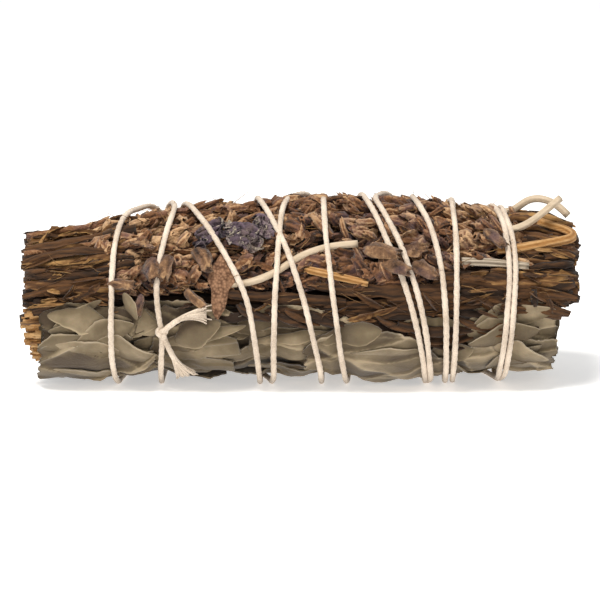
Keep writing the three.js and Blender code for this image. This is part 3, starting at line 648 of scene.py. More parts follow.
# Sage leaves.

def blade(line, half_width, depth_at, rows, columns, thickness, tones=None, torn=0.0):
    """A thin blade, with both faces and its edge. line is three places (x, angle). torn is how far
    its two ends are torn in and out."""
    u = np.linspace(0, 1, rows)
    (x0, a0), (x1, a1), (x2, a2) = line
    weights = [(1 - u) * (1 - 2 * u), 4 * u * (1 - u), u * (2 * u - 1)]
    slopes = [4 * u - 3, 4 - 8 * u, 4 * u - 1]
    mid_x, run_x = (sum(w * v for w, v in zip(ws, (x0, x1, x2))) for ws in (weights, slopes))
    mid_y, run_y = (sum(w * v * PER_DEGREE for w, v in zip(ws, (a0, a1, a2))) for ws in (weights, slopes))
    length = np.hypot(run_x, run_y)
    v = np.linspace(-1, 1, columns)
    half = half_width(u)[:, None]
    x = mid_x[:, None] - (run_y / length)[:, None] * half * v
    y = mid_y[:, None] + (run_x / length)[:, None] * half * v
    jags = noise_along(v * 3.1, line[0][0]) + 0.6 * noise_along(v * 11, line[0][1])
    x = x + torn * jags * (smooth(0.8, 1, u) + smooth(0.2, 0, u))[:, None]
    angle = y / PER_DEGREE
    depth = depth_at(x, angle, u[:, None], v[None, :])
    both = in_bunch(x, angle, depth), in_bunch(x, angle, depth + thickness)
    light = tones(x, angle, u[:, None], v[None, :]) if tones else 0.5
    tone = np.tile(np.broadcast_to(light, x.shape).ravel(), 2)
    return *two_sided(*both, rows, columns), tone


def leaf_skin(x, angle):
    """How far the leaves stand out of the skin: full between the turns of the string, and drawn in
    under them."""
    rest = in_bunch(x, angle, -0.9).reshape(-1, 3)
    drawn = from_string(rest).reshape(x.shape)
    return 0.2 + 0.8 * smooth(0.7, 3.6, drawn)


def creases(x, angle, seed, count=3):
    """Folds that lie over each other, from 0 to 1: each rises slowly and drops off at a sharp edge.
    Returns their height, and how near the edges are."""
    rng = np.random.default_rng(seed)
    y = angle * PER_DEGREE
    bend = field(x, y, 6, seed)
    total, most, edge = 0.0, 0.0, 0.0
    for _ in range(count):
        heading = rng.normal() * 0.55
        period = rng.uniform(6, 17)
        at = (x * math.sin(heading) + (y + 1.5 * bend) * math.cos(heading)) / period + rng.uniform()
        at = (at - np.floor(at)) if rng.uniform() < 0.6 else 1 - (at - np.floor(at))
        drop = 0.75 / period
        lift = np.where(at < 1 - drop, at / (1 - drop), (1 - at) / drop)
        total = total + period * lift
        most += period
        edge = np.maximum(edge, smooth(0.9, 1, lift))
    return total / most, edge


def make_leaf(leaf, seed, material):
    """One sage leaf: folded, ruffled and torn at its ends, with flaps folded over on it."""
    node, line, half, (start, end), layer, folded = leaf
    rng = np.random.default_rng(seed)
    base = rng.uniform(0.35, 0.6)

    def half_width(u):
        outline = np.sin(np.pi * (start + (end - start) * u)) ** 0.8
        edge = 1 + RUFFLE * np.sin(11 * u + half)
        return half * outline * (edge + 0.09 * noise_along(u * 7, seed) + 0.05 * noise_along(u * 40, seed))

    def depth_at(x, angle, u, v):
        fold = creases(x, angle, seed)[0] - 0.5
        rim = smooth(0.72, 1, np.abs(v)) * (0.2 + 0.6 * field(x, angle * PATTERN_DEGREE, 5, seed + 9))
        rib = 0.12 * np.exp(-(v / 0.03) ** 2) * (1 - u)
        out = leaf_skin(x, angle) * (1 - 0.12 * layer)
        return 0.1 + LAYER * layer + 0.2 - out - folded * fold - rim - rib

    def tones(x, angle, u, v):
        fold, edge = creases(x, angle, seed)
        darker = 0.1 + 0.25 * smooth(-5, -30, x) - 0.1 * smooth(25, 35, x)
        # Painted light and shade: the raised parts of the folds are lighter and the hollows darker, with a
        # painted highlight along the fold edges; the rims are paler.
        return base - darker + 0.85 * (fold - 0.5) + 0.3 * edge + 0.3 * smooth(0.9, 1, np.abs(v))

    step = GRID if line[1][1] > BACK_FROM else BACK_GRID
    rows = max(24, round(abs(line[2][0] - line[0][0]) / step))
    columns = max(17, round(half * 2 / step))
    skin = Skin()
    skin.add(*blade(line, half_width, depth_at, rows, columns, LEAF_THICKNESS, tones, 0.9))
    for _ in range(round(1.3 * folded)):
        add_flap(skin, rng, line, half, depth_at, base)
    skin.piece(node + "_fine", material, [node])


def add_flap(skin, rng, line, half, under, base):
    """A part of a leaf that is folded over, somewhere on it."""
    reach = rng.uniform(3.5, 9.5)
    x = rng.uniform(line[0][0] + reach, max(line[2][0] - reach, line[0][0] + reach + 1))
    angle = np.interp(x, [p[0] for p in line], [p[1] for p in line])
    angle += rng.uniform(-0.7, 0.7) * half / PER_DEGREE

    def below(x, angle):
        return 0.6 * under(x, angle, 0.5, 0 * x)

    add_fold(skin, x, angle, rng.normal() * 9, reach, rng.uniform(1.2, 3.6), rng.uniform(0.25, 0.75),
             rng.choice([-1, 1]), below, base)


def add_fold(skin, x, angle, lean, reach, wide, peak, raised_side, below, base):
    """A flat fold with narrow, ragged ends, lifted along one edge."""
    route = [(x - reach, angle - lean), (x, angle + 1), (x + reach, angle + lean)]

    def depth_at(x, angle, u, v):
        raised = smooth(-1, 1, raised_side * v) * np.sin(np.pi * np.clip(u, 0, 1)) ** 0.5
        return below(x, angle) - 0.15 - 0.6 * raised * leaf_skin(x, angle)

    def half_width(u):
        ragged = 1 + 0.16 * noise_along(u * 6, x) + 0.06 * noise_along(u * 25, x + 1)
        return 0.12 + wide * np.clip(np.minimum(u / peak, (1 - u) / (1 - peak)), 0, 1) ** 0.65 * ragged

    def tones(x, angle, u, v):
        across = raised_side * v
        # Painted highlight along the raised edge of the fold, and painted shade along its low side.
        return base + 0.05 + 0.35 * smooth(0.75, 1, across) - 0.25 * smooth(0, -1, across)

    skin.add(*blade(route, half_width, depth_at, 26, 11, 0.2, tones))


def make_front_folds(material):
    """The folds that can be told apart on the front leaves."""
    rng = np.random.default_rng(31)
    skin = Skin()
    for fold in FOLDS:
        add_fold(skin, *fold, lambda x, angle: 0.4 - leaf_skin(x, angle), rng.uniform(0.35, 0.6))
    skin.piece("sage_front_folds", material)


def make_inner_leaves(material):
    """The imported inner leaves: their layered edges show in both ends of the bunch, and creased
    linings and small leaves show in the gaps between the outer leaves."""
    rng = np.random.default_rng(17)
    skin = Skin()
    for side, face in LEAF_ENDS:
        for layer in range(END_LAYERS):
            depth = 1.7 + 1.1 * layer
            middle = -90 + rng.uniform(-3, 3)
            outer = face + side * rng.uniform(-0.5, 1.6)
            add_layer(skin, rng, (face - side * 5, outer), (middle - 92, middle + 92), depth, 0.6, 7, 56)
    for reach in LININGS:
        add_layer(skin, rng, reach, (-176, -6), 2.7, 0.5, 42, 84)
    for number, (line, half) in enumerate(FILLERS):
        def depth_at(x, angle, u, v, seed=number):
            return 1.6 - 0.9 * leaf_skin(x, angle) - 1.3 * (creases(x, angle, seed + 50)[0] - 0.5)

        def half_width(u, half=half, seed=number):
            return half * np.sin(np.pi * (0.1 + 0.8 * u)) ** 0.6 * (1 + 0.1 * noise_along(u * 8, seed))

        skin.add(*blade(line, half_width, depth_at, 44, 24, LEAF_THICKNESS))
    skin.piece("sage_inner_leaves", material)


def add_layer(skin, rng, xs, angles, depth, wave, rows, columns):
    """A thin sheet round the bunch between two places along it, with a ragged edge."""
    seed = rng.integers(0, 900)
    angle = np.linspace(*angles, columns)[None, :] + np.zeros((rows, 1))
    share = np.linspace(0, 1, rows)[:, None]
    x = xs[0] + (xs[1] - xs[0]) * share + 0.8 * share * noise_along(angle[0] * 0.12, seed)[None, :]
    folds = creases(x, angle, seed)[0] - 0.5
    deep = depth + wave * noise_along(angle[0] * 0.09, seed + 1)[None, :] - 1.2 * folds
    both = [in_bunch(x, angle, deep + lower) for lower in (0, 0.3)]
    for each in both:
        each[..., 2] = np.minimum(each[..., 2], border_height(x))
    skin.add(*two_sided(*both, rows, columns), rng.uniform(0.2, 0.6))


# Brown stems.

def under_heads(x, angle):
    """1 where the flower heads lie and 0 outside them."""
    first = HEADS_FROM - 5.5 * smooth(38, 50, angle)
    length = smooth(-5, -1.5, x - first) * smooth(-5, -1.5, HEADS_TO - x)
    lowest = 1 + 25 * smooth(25, 31, x)
    return length * smooth(lowest, lowest + 8, angle) * (1 - smooth(137, 145, angle))


def make_core(skin):
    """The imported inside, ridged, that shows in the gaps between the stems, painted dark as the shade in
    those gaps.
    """
    rows, columns = 60, 150
    x = np.linspace(CORE_FROM, CORE_TO, rows)[:, None] + np.zeros((1, columns))
    angle = np.linspace(-24, 204, columns)[None, :] + np.zeros((rows, 1))
    ridge = 0.5 * field(x * 0.12, angle * 0.3, 1.1, 4) + 0.3 * field(x * 0.5, angle * 0.3, 1.6, 8)
    depth = 3.7 + ridge + 3.3 * under_heads(x, angle)
    points = in_bunch(x, angle, depth)
    points[..., 2] = np.maximum(points[..., 2], border_height(x) + 0.1)
    ends = [list(range(columns)), [(rows - 1) * columns + j for j in reversed(range(columns))]]
    floor = [[i + 2 * columns - 1, i + columns, i, i + columns - 1]
             for i in range(0, (rows - 1) * columns, columns)]
    # Tone 0.1, near the darkest stem colour: painted shade deep in the gaps.
    skin.add(points.reshape(-1, 3), [sheet_faces(rows, columns)[:, ::-1], ends, floor], 0.1)


def region_tone(x, angle):
    """How light the stems are: darkest along the middle, palest at the right end."""
    right = (0.12 * smooth(8, 20, angle) - 0.08) * smooth(36, 46, x)
    return 0.15 - 0.08 * smooth(-38, -30, x) + right + 0.08 * smooth(4, 40, angle)


def end_drop(x, angle):
    """How much deeper the stems of the left end lie, at the top."""
    return (0.9 + 1.3 * smooth(-54, -45, x)) * (1 - smooth(-42, -36, x)) * smooth(25, 70, angle)


def right_end(angle):
    """Where the stems end at the right: further in, low down."""
    return 51.4 + (STEMS_TO - 51.4) * smooth(-2, 34, angle)


def brown_stem(skin, rng, places, radius, sides=10, flat=1.0, lighter=0.0, ridges=0.36, wander=1.5):
    """A dry split stem with an uneven course. places is (x, angle, depth) from end to end."""
    rows = rounded(along(places, 1.2), 2)
    t = np.arange(len(rows)) * 0.175
    seed = rng.uniform(0, 900)
    rows[:, 1] += wander * 2.0 * noise_along(t * 0.7, seed)
    rows[:, 2] += wander * 0.5 * noise_along(t * 0.8, seed + 3) + end_drop(rows[:, 0], rows[:, 1])
    radii = radius * (1 + 0.25 * noise_along(t * 1.2, seed + 5))
    radii[[0, -1]] *= rng.uniform(0.5, 0.9)
    lift = bark(rng, len(rows), sides, ridges)
    room = room_above(in_bunch(*rows.T)) - radius * (0.4 + 0.6 * flat)
    rows[:, 2] += 1.3 * (1 - smooth(-0.8, 0.8, room))
    points = in_bunch(*rows.T)
    roll = rng.uniform(-0.6, 0.6) + 1.0 * noise_along(t * 0.4, seed + 7)
    made, faces = tube(points, radii, sides, lift, flat, roll, cup=0.3)
    base = region_tone(rows[:, 0], rows[:, 1]) + rng.normal() * 0.2 + lighter
    # Painted light and shade: the ridges of the bark are lighter and its grooves darker.
    tone = base[:, None] + (lift - 1) * 0.9
    skin.add(made, faces, np.append(tone.ravel(), [base[0] + 0.1, base[-1] + 0.1]))


def add_strip(skin, rng, line, half, tone, thickness=0.25, rough=0.5, outer=0.0):
    """A dry strip of leaf or bark, creased lengthwise, with torn edges. rough is how deep its creases
    are, and outer how much further out its middle lies."""
    seed = rng.integers(0, 900)
    (x0, angle0), (x2, angle2) = line[0], line[2]
    length = math.hypot(x2 - x0, (angle2 - angle0) * PER_DEGREE)

    def half_width(u):
        torn = 0.35 * noise_along(u * length * 0.35, seed) + 0.12 * noise_along(u * length * 2, seed + 1)
        return half * (0.25 + 0.75 * np.sin(np.pi * (0.08 + 0.84 * u)) ** 0.6) * (1 + torn)

    def furrow(u, v):
        return 0.35 * np.abs(np.sin(2.4 * v * half + 2 * np.sin(5 * u + seed)))

    def depth_at(x, angle, u, v):
        lumps = field(x, angle * PATTERN_DEGREE, 3, seed)
        deep = 0.75 - outer + (0.4 + outer) * v * v + 0.5 * (2 * u - 1) ** 4
        return deep - rough * (furrow(u, v) + 0.8 * lumps)

    def tones(x, angle, u, v):
        # Painted light and shade: the raised parts between the creases are lighter and the creases darker.
        return tone + furrow(u, v) - 0.15

    rows = max(12, round(length / 0.5))
    skin.add(*blade(line, half_width, depth_at, rows, max(8, round(half * 2 / 0.3)), thickness, tones))


def add_shreds(skin, rng, count, swing=16, highest=0.1, lighter=0.0):
    """Torn shreds and curls of dry leaf, caught between the stems. swing is how far they turn from
    the run of the stems, and highest the least depth they reach."""
    kinds = [bract(rng) for _ in range(6)]
    for _ in range(count):
        x, angle = rng.uniform(STEMS_FROM + 2, STEMS_TO - 4), rng.uniform(-8, 188)
        low = min(angle, 180 - angle)
        if under_heads(x, angle) > 0.5 or low < border_angle(x) + 1 or x > right_end(low) - 3:
            continue
        points, faces, tone = kinds[rng.integers(len(kinds))]
        local = points * [rng.uniform(2.5, 8), rng.uniform(0.5, 1.7), rng.uniform(0.6, 2)]
        local = turned(local, 0, rng.uniform(-50, 50))
        local = turned(local, 1, rng.normal() * 7)
        local = turned(local, 2, rng.normal() * swing + 180 * rng.integers(2))
        depth = rng.uniform(0.5, 1.5) + min(highest, 0) + end_drop(x, angle)
        at, round_it = laid(local, x, angle)
        if at.min() < STEMS_FROM or at.max() > right_end(low):
            continue
        made = in_bunch(at, round_it, np.maximum(depth - local[:, 2], highest))
        if room_above(made[::4]).min() < 0.2:
            continue
        base = region_tone(x, angle) + rng.uniform(-0.3, 0.35) + lighter
        skin.add(made, faces, base + tone)


def section(rng, flat_share, widest):
    """The radius of a stem and how flat it is: some are wide and flat, and the others narrow."""
    if rng.uniform() < flat_share:
        return rng.uniform(1.0, widest), rng.uniform(0.28, 0.45)
    return rng.uniform(0.5, 1.0), rng.uniform(0.6, 1)


def lay_stems(skin, rng, depth, spacing, kept, lighter):
    """Long stems, end to end and side by side, where no flower heads lie."""
    for angle in np.arange(-11, 192, spacing):
        start = STEMS_FROM + rng.uniform(0, 2.4)
        end = right_end(angle)
        while start < end - 4:
            stop = min(start + rng.uniform(14, 40), end - rng.uniform(0, 1.6))
            lean = rng.normal() * 4.5
            a, deep = angle + rng.uniform(-2, 2), depth + rng.uniform(-0.5, 0.5)
            route = [(start, a - lean, deep), ((start + stop) / 2, a, deep), (stop, a + lean, deep)]
            start = stop - rng.uniform(0, 3)
            xs, angles, _ = np.transpose(route)
            hidden = np.minimum(angles, 180 - angles) < border_angle(xs) - 4
            if under_heads(xs, angles).max() > 0.1 or hidden.all() or rng.uniform() > kept:
                continue
            radius, flat = section(rng, 0.36, 1.9)
            brown_stem(skin, rng, route, radius, flat=flat, lighter=lighter)


def lay_end_stems(skin, rng, depth, spacing, kept, lighter):
    """Short stems in both ends, outside the flower heads."""
    for angle in np.arange(8, 146, spacing):
        for low, high in ((STEMS_FROM, HEADS_FROM - 1), (HEADS_TO + 2, STEMS_TO)):
            start, stop = low + rng.uniform(0, 2.4), high - rng.uniform(-3, 3)
            stop = min(stop, STEMS_TO - rng.uniform(0, 2))
            lean, deep = rng.normal() * 4, depth + rng.uniform(-0.6, 0.5)
            radius, flat = section(rng, 0.3, 1.8)
            if rng.uniform() < kept:
                route = [(start, angle - lean, deep), (stop, angle + lean, deep)]
                brown_stem(skin, rng, route, radius, flat=flat, lighter=lighter)


def add_fibres(skin, rng):
    """Loose fibres that stick out between the stems."""
    for _ in range(LOOSE_FIBRES):
        x, angle = rng.uniform(STEMS_FROM + 4, STEMS_TO - 7), rng.uniform(-4, 184)
        start = in_bunch(x, angle, 0.9 + end_drop(x, angle))
        heading = outward(start[None])[0] * 0.12
        heading = heading + [rng.choice([-1, 1]), rng.normal() * 0.2, rng.normal() * 0.2]
        if min(angle, 180 - angle) > border_angle(x) and room_above(start[None])[0] > 0.3:
            fibre(skin, rng, start, heading, rng.uniform(2, 6), rng.uniform(0.05, 0.11), 0.22)


def make_stems(material):
    """The brown stems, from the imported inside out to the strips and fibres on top."""
    rng = np.random.default_rng(23)
    skin = Skin()
    make_core(skin)
    for layer, (depth, spacing, kept) in enumerate(STEM_LAYERS):
        for lay in (lay_stems, lay_end_stems):
            # The inner layers are painted darker, as the shade that falls deeper between the stems.
            lay(skin, rng, depth, spacing, kept, 0.12 * (layer - 2))
    for line, half, tone in STRIPS:
        add_strip(skin, rng, line, half, 0.7 * tone - 0.15)
    for line, half, tone in CURLS:
        add_strip(skin, rng, line, half, tone - 0.25, outer=0.9)
    for places in UPRIGHT_STEMS:
        brown_stem(skin, rng, places, 0.75, lighter=0.1, wander=0.3)
    for places in HIGH_STEMS:
        brown_stem(skin, rng, places, 0.95, flat=0.75, lighter=0.3, wander=0.5)
    add_shreds(skin, rng, SHREDS)
    add_fibres(skin, rng)
    make_cut_ends(skin, rng)
    skin.piece("brown_stems", material, ["brown_stem_bunch"])


def make_scraps(material):
    """Torn scraps that lie across the stems."""
    rng = np.random.default_rng(37)
    skin = Skin()
    add_shreds(skin, rng, SCRAPS, swing=25, highest=-0.5, lighter=0.3)
    skin.piece("torn_stem_scraps", material)


def make_cut_ends(skin, rng):
    """The cut stems that fill both end faces."""
    for side, face in ((-1, CORE_FROM), (1, CORE_TO)):
        reach = float(girth(np.array(face))) - 2.4
        middle = float(middle_height(np.array(face)))
        for row in range(-3, 9):
            for column in range(-8, 9):
                y = (column + 0.5 * (row % 2)) * 1.85 + rng.uniform(-0.3, 0.3)
                z = row * 1.6 + rng.uniform(-0.3, 0.3)
                if math.hypot(y, z) > reach or middle + z < border_height(face) + 0.9:
                    continue
                out = rng.uniform(0.3, 2.2)
                x = [face + side * reached for reached in (-1.5, out * 0.3, out * 0.7, out)]
                points = [(at, AXIS_Y + y + rng.uniform(-0.1, 0.1), middle + z) for at in x]
                lift = bark(rng, len(x), 10, 0.2)
                radius, flat, roll = rng.uniform(0.62, 1.0), rng.uniform(0.6, 1), rng.uniform(0, 3)
                skin.add(*tube(points, radius, 10, lift, flat, roll, cup=0.35), rng.uniform(0.2, 0.75))


# Lavender.

def calyx(rng):
    """A ribbed flower cup, 1 long along x and 1 wide, bent and dented, with an open mouth that is painted
    dark as the shade inside it.
    """
    shares = np.array([0, 0.07, 0.28, 0.52, 0.76, 0.94, 1.0, 0.8])
    widths = np.array([0.14, 0.36, 0.49, 0.5, 0.44, 0.36, 0.27, 0.12])
    sides = 10
    turn = 2 * np.pi * np.arange(sides) / sides
    ribs = np.cos(5 * turn)[None, :] * np.sin(np.pi * np.clip(shares * 0.9 + 0.08, 0, 1))[:, None]
    dents = 0.16 * np.cos(2 * turn + rng.uniform(0, 6.3))[None, :] + 0.14 * np.cos(
        turn[None, :] + 5 * shares[:, None] + rng.uniform(0, 6.3))
    crumple = 0.19 * rng.uniform(-1, 1, (len(shares), sides))
    reach = widths[:, None] * (1 + rng.uniform(0.12, 0.26) * ribs + dents + crumple)
    teeth = np.where(shares >= 0.9, 0.1, 0)[:, None] * rng.uniform(-1, 1, sides)[None, :]
    rings = np.stack([shares[:, None] + teeth, reach * np.cos(turn), reach * np.sin(turn)], -1)
    rings[..., 2] += rng.uniform(-0.25, 0.25) * shares[:, None] ** 2
    points = np.concatenate([rings.reshape(-1, 3), [[0, 0, 0], [0.6, 0, 0]]])
    last = (len(shares) - 1) * sides
    base, bottom = len(points) - 2, len(points) - 1
    caps = [[base, (j + 1) % sides, j] for j in range(sides)]
    caps += [[bottom, last + j, last + (j + 1) % sides] for j in range(sides)]
    # Painted light and shade: the raised ribs and bumps are lighter and the dents darker, and the inner ring
    # of the mouth and the cap inside it are painted dark as the shade in the cup. The base is darker, and
    # the cup is paler towards its mouth.
    tone = 0.3 * ribs + 0.3 * shares[:, None] - 0.2 + 0.6 * crumple
    tone[-1:] = -0.5
    walls = sheet_faces(len(shares), sides, closed=True)[:, ::-1]
    return points, [walls, caps], np.append(tone.ravel(), [-0.3, -0.6])


def bract(rng, rows=7, columns=5, crumpled=0.09):
    """A papery scale, 1 long along x, 1 wide and curled, with a ragged edge."""
    u, v = np.meshgrid(np.linspace(0, 1, rows), np.linspace(-1, 1, columns), indexing="ij")
    half = 0.5 * np.sin(np.pi * (0.12 + 0.8 * u)) * (1 + 0.2 * rng.uniform(-1, 1, (rows, columns)))
    curl = rng.uniform(0.2, 0.9)
    crumple = crumpled * rng.uniform(-1, 1, u.shape)
    rise = 2 * curl * (v * half) ** 2 + 0.25 * curl * u * u + crumple
    top = np.stack([u + 0.06 * rng.uniform(-1, 1, u.shape), half * v, rise], -1)
    # Painted light and shade: the raised crumples are lighter and the dents darker. The edges are paler
    # towards the tip.
    tone = np.tile((0.35 * np.abs(v) * u + 2 * crumple - 0.1).ravel(), 2)
    return *two_sided(top, top - [0, 0, 0.07], rows, columns), tone


def turned(points, axis, degrees):
    """Points turned about an axis through the origin."""
    a = math.radians(degrees)
    i, j = [(1, 2), (2, 0), (0, 1)][axis]
    out = points.copy()
    out[:, i] = points[:, i] * math.cos(a) - points[:, j] * math.sin(a)
    out[:, j] = points[:, i] * math.sin(a) + points[:, j] * math.cos(a)
    return out


def laid(local, x, angle):
    """Points with an x and y of their own, as x and angle round a place in the bunch."""
    return x + local[:, 0], angle + np.degrees(local[:, 1] / THICKEST_RADIUS)


def flipped(faces):
    """The same faces, facing the other way."""
    return [np.asarray(group)[:, ::-1] for group in faces]


def set_on_head(rng, shape, papery, size, width, lean, roll):
    """A cup or scale in its size, bent, turned about itself and lifted to the outside of a head."""
    local = shape * [size, width, width * rng.uniform(0.7, 1)]
    local[:, 2] -= rng.uniform(0, 0.08) * local[:, 0] ** 2
    local = turned(local, 0, rng.uniform(-60, 60) if papery else rng.uniform(0, 360))
    local = turned(local, 2, rng.normal() * 34)
    local = turned(local, 1, -lean)
    rise = HEAD_RADIUS - size * math.sin(math.radians(lean)) - width * 0.42
    local[:, 2] += rise * rng.uniform(0.74, 1.02)
    return turned(local, 0, roll)


def sunk(rng, x, angle, depth):
    """The points of a cup, sunk until it clears what lies on the heads, or None where it can't."""
    made = in_bunch(x, angle, depth)
    deeper, clear = 0.0, 1.0 if angle.mean() > ON_TOP and rng.uniform() < OVER_STRING else -1.0
    while clear < 0.05 and deeper < MOST_SUNK:
        below = np.maximum(depth + deeper, STRING_SINK - STRING_GAP - STRING_RADIUS)
        clear = room_above(in_bunch(x, angle, below)[::6]).min()
        made = in_bunch(x, angle, depth + deeper)
        deeper += SINK_STEP
    return None if clear < -0.05 else made


def make_lavender(name, lane, base, tip, seed, material):
    """One stalk: its head of flower cups and papery scales, and the bare stalk to the end."""
    rng = np.random.default_rng(seed)
    skin = Skin()
    forward = 1 if tip > base else -1
    length = abs(tip - base)
    per_mm = 1 / math.radians(THICKEST_RADIUS - HEAD_DEPTH)
    room = 1.12 * (LANES[1] - LANES[0]) / 2 / per_mm

    def placed(local):
        """Points of the head as places in the bunch, with the head pressed in at its outside."""
        y = local[:, 1] / (1 + np.abs(local[:, 1] / room) ** 4) ** 0.25
        x = base + forward * local[:, 0]
        past = (local[:, 2] - HEAD_PRESSED) / HEAD_SOFT
        out = np.where(past > 0, HEAD_PRESSED + HEAD_SOFT * np.tanh(past), local[:, 2])
        return x, lane + y * per_mm, HEAD_DEPTH - out + LEFT_HEADS_LOWER * (1 - smooth(-42, -14, x))

    spine = np.stack([np.linspace(-5, length - 3, 24), np.zeros(24), np.full(24, -0.6)], -1)
    swell = 2.3 * np.sin(np.pi * np.linspace(0.12, 0.95, 24)) ** 0.4
    skin.add(*tube(in_bunch(*placed(spine)), swell, 10), -0.5)
    cups = [calyx(rng) for _ in range(CUP_KINDS)]
    scales = [bract(rng) for _ in range(SCALE_KINDS)]
    for i in range(CUPS):
        share = (i + rng.uniform(-0.6, 0.6)) / CUPS
        papery = rng.uniform() < PAPERY
        roll = 114 * (2 * ((i * 0.618) % 1) - 1) + rng.uniform(-12, 12)
        lean = rng.uniform(0, 40)
        size, width = rng.uniform(2.5, 4.8), rng.uniform(1.1, 2.0)
        if papery:
            size, width = rng.uniform(1.6, 4), rng.uniform(1.0, 2.6)
        else:
            size, width = 1.18 * size, 1.25 * width
        kinds = scales if papery else cups
        shape, faces, tone = kinds[rng.integers(len(kinds))]
        local = set_on_head(rng, shape, papery, size, width, lean, roll)
        local[:, 0] += share * (length + BEFORE_BASE + PAST_TIP) - BEFORE_BASE
        x, angle, depth = placed(local)
        if under_heads(x.mean(), angle.mean()) < 0.4:
            continue
        made = sunk(rng, x, angle, depth)
        if made is None:
            continue
        if (forward > 0) == papery:
            faces = flipped(faces)
        paler = 0.4 - 0.3 * smooth(-26, -12, x.mean()) + 0.2 * smooth(24, 32, x.mean())
        paler -= 0.4 * smooth(38, 14, angle.mean())
        skin.add(made, faces, 1.2 * tone + rng.uniform(0, 0.85) + paler - 0.1)
    end = -forward * STALKS_END + rng.uniform(-0.8, 0.8)
    stalk = [(base + forward * 3, lane, HEAD_DEPTH), (base - forward, lane, HEAD_DEPTH - 0.8),
             (base - forward * 5, lane, STALK_DEPTH + 0.2), (end, lane + rng.uniform(-1, 1), STALK_DEPTH)]
    rows = rounded(along(stalk, 1.2), 2)
    points = in_bunch(*rows.T)
    skin.add(*tube(points, STALK_RADIUS, 10, bark(rng, len(rows), 10, 0.14), cup=0.2), 0.5)
    skin.piece(name + "_flowers", material, [name])


def make_large_cups(material):
    """The worn cups and scales that lie over the flower heads and the string."""
    rng = np.random.default_rng(71)
    skin = Skin()
    for x, angle, size, width, heading, papery in LARGE_CUPS:
        points, faces, tone = bract(rng, 12, 7, 0.12) if papery else calyx(rng)
        worn = points + rng.uniform(-1, 1, points.shape) * [0.04, 0.07, 0.07]
        local = turned(worn * [size, width, width * 0.8], 0, rng.uniform(-30, 30))
        local = turned(turned(local, 1, -8), 2, heading)
        if not papery:
            faces = flipped(faces)
        made = in_bunch(*laid(local, x, angle), 0.4 - local[:, 2])
        tone = 0.6 * tone + rng.uniform(-0.35, 0.35, len(tone))
        skin.add(made, faces, tone + rng.uniform(0.3, 0.7))
    skin.piece("large_cups", material)


# Single pieces.

def make_single_stem(stem, material):
    """One of the stems that can be told apart, ridged along its length."""
    name, _, radius, ridged, places = stem
    rng = np.random.default_rng(len(name))
    skin = Skin()
    if name.startswith("golden_stub"):
        make_split_stub(skin, rng, radius, places)
    else:
        rows = rounded(along(places, 0.6), 3)
        points = in_bunch(rows[:, 0], rows[:, 1], rows[:, 2] - 0.6 * smooth(-12.5, -9, rows[:, 0]))
        radii = radius * (1 + 0.07 * noise_along(np.arange(len(points)) * 0.12, len(name)))
        surface = plied(len(points), 20, 5, ridged, 0.01) + bark(rng, len(points), 20, 0.3 * ridged) - 1
        # Painted light and shade: the ridges are lighter and the grooves darker.
        tone = np.append((0.5 + (surface - 1) * 1.5).ravel(), [0.4, 0.4])
        skin.add(*tube(points, radii, 20, surface, cup=0.25), tone)
    skin.piece(name + "_fine", material, [name])


def make_split_stub(skin, rng, radius, places):
    """The end of a thick stem, split into ragged strands."""
    (x0, angle, depth), (x1, _, _) = places
    for _ in range(STUB_STRANDS):
        across, deep = rng.uniform(-3, 3), rng.uniform(-2, 1.1)
        start = x0 + rng.uniform(-0.1, 2.6)
        route = [(start, angle + across * 4, depth + deep), (x1, angle + across * 3, depth + deep)]
        rows = rounded(along(route, 0.8), 2)
        rows[:, 1:] += rng.normal(size=(len(rows), 2)) * [0.5, 0.12]
        points = in_bunch(*rows.T)
        thick = radius * rng.uniform(0.18, 0.4)
        lift = bark(rng, len(rows), 8, 0.25)
        # Painted light and shade on top of each strand's own tone: ridges lighter, grooves darker.
        tone = np.append((rng.uniform(0.2, 0.9) + (lift - 1)).ravel(), [0.6, 0.6])
        skin.add(*tube(points, thick, 8, lift, rng.uniform(0.6, 1), rng.uniform(0, 3), cup=0.2), tone)


def make_reddish_leaf(material):
    """The red-brown leaf that hangs down under the string."""
    def half_width(u):
        outline = np.interp(u, *np.transpose(RED_LEAF_WIDTHS))
        return outline * (1 + 0.1 * noise_along(u * 9, 3))

    def depth_at(x, angle, u, v):
        pebbles = 0.22 * field(x, angle * PATTERN_DEGREE, 0.8, 12)
        return 0.85 * brown_side(angle + 10) - 0.35 + 0.5 * v * v + pebbles - 0.5 * smooth(0.7, 1, -v)

    skin = Skin()
    skin.add(*blade(RED_LEAF, half_width, depth_at, 60, 25, 0.3))
    skin.piece("reddish_leaf_fine", material, ["reddish_leaf"])


